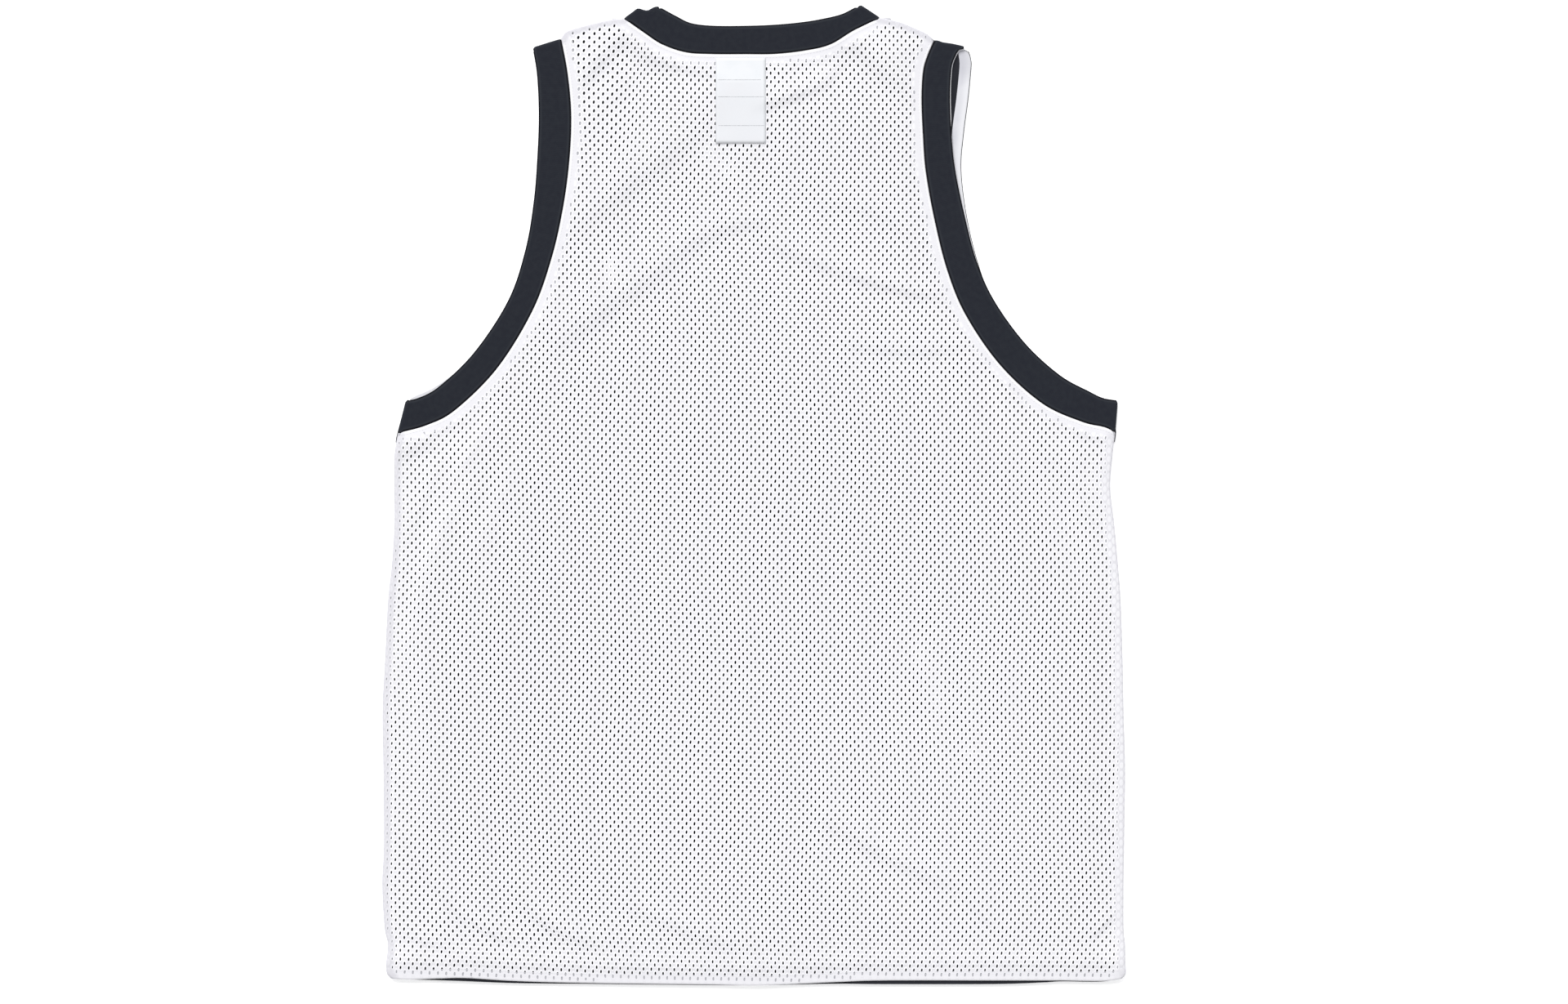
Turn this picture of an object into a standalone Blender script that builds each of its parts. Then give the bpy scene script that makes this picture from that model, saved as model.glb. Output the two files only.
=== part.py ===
"""Basketball jersey laid flat on a surface, back side up.

The garment is two outer panels of white mesh, two inner panels of dark cloth, a doubled neck band,
two arm bands with a narrow white tape inside each, and a label. The panels lie on each other, and
every piece is a wall of cloth with its own thickness. +Y points to the neck and +Z up, and the
underside of the lowest panel is at zero.

Sizes are in millimetres until a mesh is made.
"""

from math import cos, exp, pi, radians, sin

import bpy
import numpy as np
from mathutils import Vector
from mathutils.bvhtree import BVHTree
from mathutils.geometry import delaunay_2d_cdt

MM = 0.001

# Layers
CLOTH = 1.0                                # wall of one layer of cloth
GAP = 0.3                                  # room between two layers, and across a seam
MID_PLANE = 2 * CLOTH + 1.5 * GAP          # height half way between the front and back panels
MESH_LEVEL = 1.5 * (CLOTH + GAP)           # middle of the outer cloth, above or below that plane
SHELL_LEVEL = 0.5 * (CLOTH + GAP)          # middle of the inner cloth, above or below that plane
NECK_LEVEL = CLOTH + GAP                   # middle of the doubled neck band
NECK_WALL = 2 * CLOTH + GAP
TAPE_WIDTH = 10.0                          # white tape along the free edge of an arm band

# Turned edges
FOLD_INSET = MID_PLANE                     # from the garment's outline to where a piece starts to turn
SEAM_BEND = 1.35                           # radius in which a mesh panel turns to its side seam
TURN_STEPS = 3                             # facets in a quarter turn

# Stations
SIDE_STEPS = 18
ARM_STEPS = 20
SHOULDER_STEPS = 4
NECK_STEPS = 18
HEM_STEPS = 22
BAND_COLUMNS = 3                           # cells across a band
TAPE_COLUMNS = 2
FINE_STEPS = 16                            # points worked out between two rows of a table

# Side edges: height of the row, the left edge and the right edge, from the hem to the underarm.
SIDE_ROWS = (
    # y, left_x, right_x
    (-403.5, -301.5, 306.0),
    (-399.0, -304.0, 309.0),
    (-385.0, -305.5, 308.8),
    (-360.0, -308.4, 307.4),
    (-325.0, -309.4, 307.2),
    (-290.0, -308.2, 307.5),
    (-230.0, -308.6, 308.2),
    (-180.0, -309.2, 307.0),
    (-140.0, -307.2, 305.9),
    (-90.0, -304.8, 304.1),
    (-55.0, -300.9, 301.8),
    (-22.0, -299.0, 298.6),
    (6.0, -299.4, 295.4),
    (32.0, -299.2, 297.4),
)

# Hem: the mesh's edge, and how far the dark cloth reaches below it.
HEM_ROWS = (
    # x, mesh_y, dark_reach
    (-301.5, -403.5, -1.5),
    (-285.0, -404.0, 0.0),
    (-262.0, -403.2, 1.5),
    (-240.0, -402.9, 2.7),
    (-200.0, -405.3, 1.8),
    (-138.0, -407.0, 1.0),
    (-37.0, -408.3, 0.7),
    (4.0, -409.0, -0.5),
    (65.0, -406.3, 1.4),
    (106.0, -404.9, 3.0),
    (200.0, -404.9, 3.0),
    (249.0, -404.9, 1.8),
    (290.0, -405.3, 0.7),
    (306.0, -403.5, -1.5),
)

# Arm bands, from the shoulder to the underarm: the seam to the body, the free edge, and how far
# the front half of the band lies outside the back half.
ARM_ROWS_LEFT = (
    # seam_x, seam_y, free_x, free_y, front_shift
    (-161.2, 379.4, -185.0, 372.0, 0.0),
    (-155.7, 350.2, -181.0, 349.5, -2.5),
    (-153.0, 316.2, -179.5, 316.2, -3.0),
    (-154.7, 278.8, -181.0, 280.8, -3.0),
    (-159.8, 239.4, -184.3, 242.8, -3.0),
    (-169.3, 197.2, -191.1, 203.3, -3.0),
    (-185.3, 153.0, -205.0, 161.8, -3.0),
    (-214.9, 105.4, -233.2, 119.0, -2.5),
    (-249.6, 70.7, -263.2, 90.1, 2.8),
    (-273.4, 57.8, -281.5, 80.9, 5.0),
    (-297.2, 51.0, -290.4, 78.9, 0.0),
)
ARM_ROWS_RIGHT = (
    # seam_x, seam_y, free_x, free_y, front_shift
    (149.6, 378.4, 174.1, 373.3, 0.0),
    (140.9, 352.9, 164.9, 354.3, 15.0),
    (139.7, 329.8, 163.0, 329.8, 15.1),
    (140.9, 298.5, 164.2, 299.2, 9.6),
    (142.8, 267.2, 167.3, 270.0, 4.3),
    (149.9, 226.4, 174.8, 232.6, 1.0),
    (160.5, 185.6, 185.0, 193.8, 0.6),
    (176.1, 148.9, 199.6, 161.2, -1.0),
    (204.7, 108.1, 225.1, 125.5, -2.0),
    (240.0, 76.2, 254.3, 99.3, -2.0),
    (272.7, 61.2, 278.5, 85.7, -1.5),
    (291.0, 56.4, 290.6, 80.0, -0.5),
    (300.6, 51.7, 302.6, 78.2, 0.0),
)

# Shoulder seams, from the arm band to the neck band, between those two bands' corners.
SHOULDER_LEFT = ((-156.4, 384.7), (-139.7, 389.9), (-122.4, 394.2))
SHOULDER_RIGHT = ((142.8, 382.8), (132.6, 387.6), (120.4, 392.8))

# Neck band over the back, from the left shoulder to the right one.
NECK_ROWS = (
    # seam_x, seam_y, free_x, free_y
    (-108.8, 396.1, -82.0, 405.8),
    (-92.5, 385.6, -77.9, 404.1),
    (-76.2, 375.4, -65.3, 397.1),
    (-57.1, 368.8, -53.0, 391.7),
    (-36.7, 366.9, -35.4, 389.6),
    (-8.2, 366.5, -8.2, 389.6),
    (17.7, 366.9, 16.3, 390.7),
    (42.2, 369.9, 38.1, 393.0),
    (62.6, 375.4, 54.7, 395.8),
    (82.3, 386.6, 73.1, 400.2),
    (104.7, 396.8, 87.7, 408.0),
)
FRONT_SEAM_DEPTH = 129.0                   # scoop of the front neck, from the shoulder to its seam
FRONT_FREE_DEPTH = 114.0                   # the same to its free edge

# Label
LABEL_CENTRE = (-11.6, 328.6)
LABEL_WIDTH = 42.2
LABEL_LENGTH = 73.4
LABEL_CELLS = (4, 7)
LABEL_GAP = 0.4                            # a little more than the gap, over the cloth's facets
RAY_HEIGHT = 100.0                         # start of the rays that find the cloth under it

# Folds of the upper cloth: the two ends of each trough, its depth and its half width. A negative
# depth is a ridge.
SWELL = 1.5                                # mean lift of the upper cloth between its seams
FOLD_ROWS = (
    # x1, y1, x2, y2, depth, half_width
    (-159.0, 207.0, -37.0, 303.0, 1.5, 16.0),
    (-159.0, 126.0, 18.0, 216.0, 1.4, 17.0),
    (11.0, 207.0, 154.0, 165.0, 1.1, 16.0),
    (79.0, 119.0, 164.0, 117.0, 0.8, 14.0),
    (79.0, 347.0, 11.0, 323.0, 0.9, 13.0),
    (-152.0, 180.0, -220.0, 85.0, -1.2, 14.0),
    (-247.0, 51.0, -288.0, -31.0, 1.2, 14.0),
    (-275.0, -65.0, -295.0, -119.0, -1.0, 14.0),
    (-305.0, -180.0, -302.0, -269.0, 1.0, 15.0),
    (-288.0, -296.0, -193.0, -374.0, 1.4, 16.0),
    (-207.0, -340.0, -112.0, -374.0, 1.2, 15.0),
    (-125.0, -340.0, -30.0, -374.0, -1.0, 15.0),
    (72.0, -286.0, 167.0, -330.0, 1.2, 17.0),
    (262.0, 24.0, 286.0, -51.0, 1.0, 14.0),
    (283.0, -364.0, 307.0, -347.0, 1.0, 14.0),
)
EDGE_CALM = 40.0                           # width in which the folds fade out towards an edge
LATTICE_SPACING = 19.0                     # points of the upper cloth
EDGE_CLEARANCE = 0.6                       # share of that spacing kept free along an edge
WELD = 0.0001


def unit(vectors):
    """Each row scaled to length one."""
    return vectors / np.linalg.norm(vectors, axis=-1, keepdims=True)


def curve_through(rows, steps):
    """Evenly spaced stations on a smooth curve through hand-set rows, by the path of x and y."""
    rows = np.array(rows, dtype=float)
    ends = (2 * rows[:1] - rows[1:2], rows, 2 * rows[-1:] - rows[-2:-1])
    p = np.vstack(ends)
    t = np.linspace(0, 1, FINE_STEPS, endpoint=False)[:, None]
    spans = []
    for a, b, c, d in zip(p, p[1:], p[2:], p[3:]):
        square = (2 * a - 5 * b + 4 * c - d) * t ** 2
        cube = (3 * b - a - 3 * c + d) * t ** 3
        spans.append(0.5 * (2 * b + (c - a) * t + square + cube))
    line = np.vstack(spans + [rows[-1:]])
    pace = np.linalg.norm(np.diff(line[:, :2], axis=0), axis=1)
    run = np.concatenate(([0.0], np.cumsum(pace)))
    stops = np.linspace(0, run[-1], steps + 1)
    columns = [np.interp(stops, run, column) for column in line.T]
    return np.column_stack(columns)


def outward_normals(chain):
    """Unit normals of a plan curve, on the side away from the garment's middle."""
    along = unit(np.gradient(chain, axis=0))
    normals = np.column_stack((along[:, 1], -along[:, 0]))
    facing = np.sum(normals * chain, axis=1)
    return normals * np.sign(facing)[:, None]


def fold_direction(seam, free, end, inner):
    """Unit vector that points out across a band's fold line at one end of its stations."""
    across = unit(free[end] - seam[end])
    out = np.array((-across[1], across[0]))
    return out * np.sign(np.dot(out, seam[end] - seam[inner]))


def arm_edges(rows, is_front):
    """Seam and free edges of one half of an arm band, from the shoulder to the underarm."""
    table = curve_through(rows, ARM_STEPS)
    seam, free, shift = table[:, :2], table[:, 2:4], table[:, 4:]
    moved = unit(free - seam) * shift * is_front
    return seam + moved, free + moved


def neck_edges(is_front):
    """Seam and free edges of one half of the neck band, from left to right."""
    table = curve_through(NECK_ROWS, NECK_STEPS)
    seam, free = table[:, :2], table[:, 2:4]
    if not is_front:
        return seam, free
    angle = np.linspace(0, pi, NECK_STEPS + 1)[:, None]
    share = (1 - np.cos(angle)) / 2
    drop = np.hstack((0 * angle, np.sin(angle)))
    deep_seam = seam[0] + (seam[-1] - seam[0]) * share - drop * FRONT_SEAM_DEPTH
    deep_free = free[0] + (free[-1] - free[0]) * share - drop * FRONT_FREE_DEPTH
    return deep_seam, deep_free


def trimmed(edge, seam, free):
    """An edge along a band with both ends drawn back from the band's fold lines."""
    edge = edge.copy()
    edge[0] -= fold_direction(seam, free, 0, 1) * FOLD_INSET
    edge[-1] -= fold_direction(seam, free, -1, -2) * FOLD_INSET
    return edge


def panel_outline(is_front, is_shell):
    """Closed plan outline of a panel, and the stretches of it that turn to a seam.

    A stretch is a list of places in the outline with the outward direction at each.
    """
    neck_seam, neck_free = neck_edges(is_front)
    sides, side_outs, shoulders, shoulder_outs = [], [], [], []
    for column, arm_rows, shoulder, neck_end, neck_next in (
        (1, ARM_ROWS_LEFT, SHOULDER_LEFT, 0, 1),
        (2, ARM_ROWS_RIGHT, SHOULDER_RIGHT, -1, -2),
    ):
        seam, free = arm_edges(arm_rows, is_front)
        across = unit(free - seam)
        side = [(row[column], row[0]) for row in SIDE_ROWS] + [tuple(seam[-1])]
        side = curve_through(side, SIDE_STEPS)
        side_out = outward_normals(side)
        side_out[-1] = fold_direction(seam, free, -1, -2)
        side = side - side_out * FOLD_INSET
        line = [tuple(seam[0])] + list(shoulder) + [tuple(neck_seam[neck_end])]
        line = curve_through(line, SHOULDER_STEPS)
        line_out = outward_normals(line)
        line_out[0] = fold_direction(seam, free, 0, 1)
        line_out[-1] = fold_direction(neck_seam, neck_free, neck_end, neck_next)
        line = line - line_out * FOLD_INSET
        if is_shell:
            edge = trimmed(free - across * (TAPE_WIDTH + GAP / 2), seam, free)
            shoulders.append(line[:-1])
        else:
            edge = trimmed(seam - across * GAP / 2, seam, free)
            side = side[:-1]
            shoulders.append(line[1:-1])
        sides.append(np.vstack((side, edge[::-1])))
        side_outs.append(side_out)
        shoulder_outs.append(line_out)

    neck = trimmed(neck_seam - unit(neck_free - neck_seam) * GAP / 2, neck_seam, neck_free)
    left, right = sides
    hem = hem_edge(left[0, 0], right[0, 0], is_shell and not is_front)
    left[0], right[0] = hem[0], hem[-1]
    loop = np.vstack((left, shoulders[0], neck, shoulders[1][::-1], right[::-1], hem[-2:0:-1]))
    if is_shell:
        return loop, []
    corner = len(left) - 1
    far_corner = len(left) + 2 * len(shoulders[0]) + len(neck)
    far_hem = far_corner + len(right) - 1
    stretches = [
        (list(range(SIDE_STEPS + 1)), side_outs[0]),
        ([far_hem - k for k in range(SIDE_STEPS + 1)], side_outs[1]),
        ([corner + k for k in range(SHOULDER_STEPS + 1)], shoulder_outs[0]),
        ([far_corner - k for k in range(SHOULDER_STEPS + 1)], shoulder_outs[1]),
    ]
    return loop, stretches


def hem_edge(left_x, right_x, has_reach):
    """Evenly spaced hem points, with the dark cloth's reach below the mesh where it is asked for."""
    rows = np.array(HEM_ROWS)
    x = np.linspace(left_x, right_x, HEM_STEPS + 1)
    y = np.interp(x, rows[:, 0], rows[:, 1])
    if has_reach:
        y -= np.interp(x, rows[:, 0], rows[:, 2])
    return np.column_stack((x, y))


def distance_to_outline(points, loop):
    """Shortest distance of each plan point to a closed outline."""
    ends = np.roll(loop, -1, axis=0)
    span = ends - loop
    nearest = np.full(len(points), np.inf)
    for start, step in zip(loop, span):
        share = np.clip((points - start) @ step / (step @ step), 0, 1)
        away = np.linalg.norm(points - start - share[:, None] * step, axis=1)
        nearest = np.minimum(nearest, away)
    return nearest


def is_inside(points, loop):
    """Whether each plan point is inside a closed outline, by counting the edges to its right."""
    ends = np.roll(loop, -1, axis=0)
    count = np.zeros(len(points), dtype=int)
    for (x1, y1), (x2, y2) in zip(loop, ends):
        crosses = (y1 > points[:, 1]) != (y2 > points[:, 1])
        if y1 != y2:
            at_x = x1 + (points[:, 1] - y1) * (x2 - x1) / (y2 - y1)
            count += crosses & (points[:, 0] < at_x)
    return count % 2 == 1


def lattice(loop, spacing):
    """Staggered points inside an outline, clear of its edge."""
    low, high = loop.min(axis=0), loop.max(axis=0)
    points = []
    row_height = spacing * sin(radians(60))
    for j in range(int((high[1] - low[1]) / row_height) + 1):
        for i in range(int((high[0] - low[0]) / spacing) + 2):
            points.append((low[0] + (i - 0.5 * (j % 2)) * spacing, low[1] + j * row_height))
    points = np.array(points)
    clear = distance_to_outline(points, loop) > EDGE_CLEARANCE * spacing
    return points[clear & is_inside(points, loop)]


def fold_height(x, y):
    """Lift of the upper cloth: a soft swell with troughs and ridges across it."""
    broad = 0.35 * sin(x / 61 + y / 93) + 0.3 * sin(y / 57 - x / 130 + 1.2) + 0.2 * sin(x / 34 + 2.1)
    lift = SWELL * (1 + 0.6 * broad)
    for x1, y1, x2, y2, depth, half_width in FOLD_ROWS:
        length_squared = (x2 - x1) ** 2 + (y2 - y1) ** 2
        share = ((x - x1) * (x2 - x1) + (y - y1) * (y2 - y1)) / length_squared
        share = min(max(share, 0.0), 1.0)
        away = (x - x1 - share * (x2 - x1)) ** 2 + (y - y1 - share * (y2 - y1)) ** 2
        lift -= depth * exp(-away / half_width ** 2)
    return max(lift, 0.0)


def ease(share):
    """Smooth step from nought to one."""
    share = min(max(share, 0.0), 1.0)
    return share * share * (3 - 2 * share)


def finish_cloth(name, mesh, colour, roughness, wall):
    """Object with a Solidify wall, its faces turned one way, in the jersey's collection."""
    mesh.validate()
    jersey_object = bpy.data.objects.new(name, mesh)
    COLLECTION.objects.link(jersey_object)
    jersey_object.parent = ROOT
    bpy.context.view_layer.objects.active = jersey_object
    jersey_object.select_set(True)
    bpy.ops.object.mode_set(mode="EDIT")
    bpy.ops.mesh.select_all(action="SELECT")
    bpy.ops.mesh.normals_make_consistent(inside=False)
    bpy.ops.object.mode_set(mode="OBJECT")
    jersey_object.select_set(False)
    mesh.shade_smooth()
    solidify = jersey_object.modifiers.new("cloth wall", "SOLIDIFY")
    solidify.thickness = wall * MM
    solidify.offset = 0.0
    solidify.use_even_offset = True
    mesh.materials.append(cloth_material(name, colour, roughness))
    return jersey_object


def cloth_material(name, colour, roughness):
    """Principled material with one colour, for one piece."""
    material = bpy.data.materials.new(name)
    material.use_nodes = True
    shader = material.node_tree.nodes["Principled BSDF"]
    shader.inputs["Base Color"].default_value = (*colour, 1.0)
    shader.inputs["Roughness"].default_value = roughness
    shader.inputs["Metallic"].default_value = 0.0
    return material


def quarter_turn():
    """Steps of a panel's turned edge: how far out, and how far above the mid-plane."""
    widest = FOLD_INSET - CLOTH / 2
    steps = []
    for k in range(1, TURN_STEPS + 1):
        angle = radians(90) * k / TURN_STEPS
        out = widest - SEAM_BEND * (1 - sin(angle))
        steps.append((out, MESH_LEVEL - SEAM_BEND * (1 - cos(angle))))
    return steps + [(widest, GAP / 2)]


def make_panel(name, is_front, is_shell, colour, roughness):
    """One panel of cloth: flat, or with the garment's folds where it is the upper one."""
    loop, stretches = panel_outline(is_front, is_shell)
    side = -1 if is_front else 1
    level = SHELL_LEVEL if is_shell else MESH_LEVEL
    has_folds = not is_front and not is_shell
    plan = loop
    if has_folds:
        plan = np.vstack((loop, lattice(loop, LATTICE_SPACING)))
    flat_points = [Vector(point) for point in plan]
    outline = [list(range(len(loop)))]
    filled = delaunay_2d_cdt(flat_points, [], outline, 1, WELD)
    plan = np.array([tuple(point) for point in filled[0]])
    place = {origins[0]: index for index, origins in enumerate(filled[3]) if origins}
    heights = np.full(len(plan), MID_PLANE + side * level)
    if has_folds:
        calm = distance_to_outline(plan, loop) / EDGE_CALM
        heights += [fold_height(x, y) * ease(share) for (x, y), share in zip(plan, calm)]
    points = [(x, y, z) for (x, y), z in zip(plan, heights)]
    faces = [tuple(face) for face in filled[2]]

    for chain, outward in stretches:
        previous = [place[index] for index in chain]
        roots = [points[index] for index in previous]
        for out, up in quarter_turn():
            current = list(range(len(points), len(points) + len(roots)))
            for (x, y, _), (nx, ny) in zip(roots, outward):
                points.append((x + out * nx, y + out * ny, MID_PLANE + side * up))
            for k in range(len(roots) - 1):
                faces.append((previous[k], previous[k + 1], current[k + 1], current[k]))
            previous = current
    mesh = bpy.data.meshes.new(name)
    mesh.from_pydata([[value * MM for value in point] for point in points], [], faces)
    return finish_cloth(name, mesh, colour, roughness, CLOTH)


def make_loop(name, back, front, level, wall, columns, colour, roughness):
    """A closed band: its back half on top, its front half below, folded over at both ends.

    Each half is a pair of edges with the same stations, seam edge first.
    """
    first_out, last_out = fold_direction(*back, 0, 1), fold_direction(*back, -1, -2)
    halves = []
    for seam, free in (back, front):
        seam, free = seam.copy(), free.copy()
        for end, out in ((0, first_out), (-1, last_out)):
            seam[end] = back[0][end] - out * FOLD_INSET
            free[end] = back[1][end] - out * FOLD_INSET
        halves.append(list(zip(seam, free)))
    half_turn = [radians(90) * k / TURN_STEPS for k in range(1, 2 * TURN_STEPS)]
    flat = np.zeros(2)
    path = [(*pair, flat, level) for pair in halves[0]]
    path += [(*halves[0][-1], last_out * level * sin(turn), level * cos(turn)) for turn in half_turn]
    path += [(*pair, flat, -level) for pair in halves[1][::-1]]
    path += [(*halves[0][0], first_out * level * sin(turn), -level * cos(turn)) for turn in half_turn]

    shares = np.linspace(0, 1, columns + 1)[:, None]
    points = []
    for seam_point, free_point, reach, up in path:
        plan = seam_point + (free_point - seam_point) * shares + reach
        points += [(x, y, MID_PLANE + up) for x, y in plan]
    width = columns + 1
    faces = []
    for j in range(len(path)):
        after = (j + 1) % len(path)
        for i in range(columns):
            a, b = j * width + i, after * width + i
            faces.append((a, a + 1, b + 1, b))
    mesh = bpy.data.meshes.new(name)
    mesh.from_pydata([[value * MM for value in point] for point in points], [], faces)
    return finish_cloth(name, mesh, colour, roughness, wall)


def make_arm_pieces(side_name, rows):
    """The dark arm band and the white tape inside it, on one side."""
    bands, tapes = [], []
    for is_front in (False, True):
        seam, free = arm_edges(rows, is_front)
        across = unit(free - seam)
        bands.append((seam + across * GAP / 2, free))
        tapes.append((free - across * (TAPE_WIDTH - GAP / 2), free))
    make_loop("arm_band_" + side_name, *bands, MESH_LEVEL, CLOTH, BAND_COLUMNS, DARK, BAND_ROUGHNESS)
    make_loop("arm_facing_" + side_name, *tapes, SHELL_LEVEL, CLOTH, TAPE_COLUMNS, WHITE,
              MESH_ROUGHNESS)


def make_neck_band():
    """The neck band, shallow over the back and deep over the front."""
    halves = []
    for is_front in (False, True):
        seam, free = neck_edges(is_front)
        halves.append((seam + unit(free - seam) * GAP / 2, free))
    make_loop("neck_band", *halves, NECK_LEVEL, NECK_WALL, BAND_COLUMNS, DARK, BAND_ROUGHNESS)


def make_label(panel):
    """The label: a thin slab made on the upper cloth and moved out from it."""
    columns, rows = LABEL_CELLS
    tree = BVHTree.FromPolygons(
        [vertex.co / MM for vertex in panel.data.vertices],
        [tuple(polygon.vertices) for polygon in panel.data.polygons],
    )
    bpy.ops.mesh.primitive_grid_add(x_subdivisions=columns, y_subdivisions=rows, size=1.0)
    label = bpy.context.active_object
    mesh = label.data
    for vertex in mesh.vertices:
        x = LABEL_CENTRE[0] + LABEL_WIDTH * vertex.co.x
        y = LABEL_CENTRE[1] + LABEL_LENGTH * vertex.co.y
        hit = tree.ray_cast(Vector((x, y, RAY_HEIGHT)), Vector((0, 0, -1)))[0]
        vertex.co = Vector((x, y, hit.z + CLOTH + LABEL_GAP)) * MM
    bpy.data.objects.remove(label)
    return finish_cloth("label", mesh, LABEL_WHITE, LABEL_ROUGHNESS, CLOTH)


WHITE = (0.90, 0.89, 0.92)
DARK = (0.026, 0.028, 0.036)
LABEL_WHITE = (0.92, 0.94, 0.96)
MESH_ROUGHNESS = 0.85
SHELL_ROUGHNESS = 0.80
BAND_ROUGHNESS = 0.75
LABEL_ROUGHNESS = 0.45

for old in list(bpy.data.objects):
    bpy.data.objects.remove(old, do_unlink=True)

COLLECTION = bpy.data.collections.new("basketball_jersey")
bpy.context.scene.collection.children.link(COLLECTION)
ROOT = bpy.data.objects.new("jersey", None)
COLLECTION.objects.link(ROOT)

make_panel("front_mesh", True, False, WHITE, MESH_ROUGHNESS)
make_panel("front_shell", True, True, DARK, SHELL_ROUGHNESS)
make_panel("back_shell", False, True, DARK, SHELL_ROUGHNESS)
upper_panel = make_panel("back_mesh", False, False, WHITE, MESH_ROUGHNESS)
make_arm_pieces("left", ARM_ROWS_LEFT)
make_arm_pieces("right", ARM_ROWS_RIGHT)

make_neck_band()
make_label(upper_panel)
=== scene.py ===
"""A basketball jersey laid flat with its back side up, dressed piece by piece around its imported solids.

Sizes are in millimetres until a mesh is made. +Y points to the neck, +Z up, and the cloth lies on z = 0.
"""

from math import cos, pi, radians, sin

import bpy
import numpy as np
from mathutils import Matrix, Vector
from mathutils.geometry import delaunay_2d_cdt


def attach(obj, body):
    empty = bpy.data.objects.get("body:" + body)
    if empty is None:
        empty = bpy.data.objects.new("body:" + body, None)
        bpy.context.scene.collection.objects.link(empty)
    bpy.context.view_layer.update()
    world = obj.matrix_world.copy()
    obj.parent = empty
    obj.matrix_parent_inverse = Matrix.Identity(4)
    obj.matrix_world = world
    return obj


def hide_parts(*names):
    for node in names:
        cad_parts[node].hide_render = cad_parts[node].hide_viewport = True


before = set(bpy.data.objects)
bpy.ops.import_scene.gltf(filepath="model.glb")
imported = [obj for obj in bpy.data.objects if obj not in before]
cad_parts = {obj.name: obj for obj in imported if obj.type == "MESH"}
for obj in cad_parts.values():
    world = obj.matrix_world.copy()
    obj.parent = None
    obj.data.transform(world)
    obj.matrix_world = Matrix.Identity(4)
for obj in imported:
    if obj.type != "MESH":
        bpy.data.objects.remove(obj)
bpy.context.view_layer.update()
MM = 0.001

# Front panel of white mesh
# One piece of warp-knit polyester with small upright oval eyelets, cut to the armholes, a deep front
# neck and a straight hem. It is the lowest layer, face down, and rests on the surface.

# Side seams from the hem to the underarm.
SIDE_ROWS = (
    # y, left_x, right_x
    (-403.5, -302.3, 306),
    (-399.5, -306.3, 309.2),
    (-391, -307.1, 309),
    (-375, -305.6, 308.6),
    (-360, -308.5, 307.3),
    (-325, -310.3, 307.3),
    (-290, -308.9, 307.8),
    (-230, -309.4, 308.6),
    (-180, -310.1, 307.3),
    (-140, -308.1, 306.6),
    (-90, -305.6, 305),
    (-55, -302, 302.4),
    (-22, -300.1, 299.3),
    (6, -300.4, 296.2),
    (32, -300.2, 298.1),
)
# Lower edge of the mesh, and how far the dark cloth reaches past it.
HEM_ROWS = (
    # x, mesh_y, dark_reach
    (-301.5, -403.5, -1.5),
    (-285, -404, 0),
    (-262, -403.2, 1.6),
    (-240, -402.9, 2.7),
    (-200, -405.3, 1.8),
    (-138, -407, 0.8),
    (-37, -408.3, 0.5),
    (4, -409, 0),
    (65, -406.3, 1.4),
    (106, -404.9, 3.1),
    (200, -404.9, 3),
    (240, -404.9, 1.7),
    (256, -404.9, 0.8),
    (290, -405.3, 0.5),
    (306, -403.5, -1.5),
)
# Armholes from the shoulder to the underarm: the seam to the body, the band's free edge, and how far
# the front half of the band lies outside the back half.
ARM_ROWS_LEFT = (
    # seam_x, seam_y, free_x, free_y, front_shift
    (-161.2, 379.4, -185, 372, 0),
    (-155.8, 350.2, -181.3, 349.5, -2.5),
    (-152.8, 316.2, -179.8, 316.2, -3),
    (-154.3, 278.8, -181, 280.8, -3),
    (-159.5, 239.3, -184.1, 242.8, -3),
    (-169, 197.1, -191, 203.2, -3),
    (-185, 152.9, -205, 161.8, -3),
    (-214.4, 105, -233, 118.8, -3),
    (-249.3, 70.2, -262.9, 89.6, 1.7),
    (-273.3, 57.5, -281.2, 79.8, 2.4),
    (-297.2, 51, -290.4, 78.9, 0),
)
ARM_ROWS_RIGHT = (
    # seam_x, seam_y, free_x, free_y, front_shift
    (149.6, 378.4, 174.6, 373.1, 0),
    (147.8, 373.9, 170.2, 369.8, 8.7),
    (144.3, 365.6, 166.7, 363.6, 13.7),
    (140.6, 352.9, 163.9, 354.3, 16.8),
    (139.2, 329.8, 162.7, 329.8, 15.5),
    (140.4, 298.5, 164, 299.2, 10.3),
    (142.9, 267.2, 167.1, 270, 5.2),
    (150.4, 226.5, 174.8, 232.6, 1.9),
    (160.8, 185.7, 185, 193.8, 0.9),
    (176.1, 148.9, 199.6, 161.2, -1),
    (204.4, 107.8, 225.3, 125.7, -2),
    (239.6, 75.6, 254.2, 99.2, -2),
    (272.5, 60.4, 278.5, 85.7, -1.5),
    (291, 56, 290.6, 80, -0.5),
    (300.6, 51.7, 302.6, 78.2, 0),
)
SHOULDER_LEFT = ((-156.6, 385.5), (-139.9, 390.6), (-122.6, 394.7))
SHOULDER_RIGHT = ((143.2, 383.6), (132.9, 388.5), (120.6, 393.4))
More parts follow.
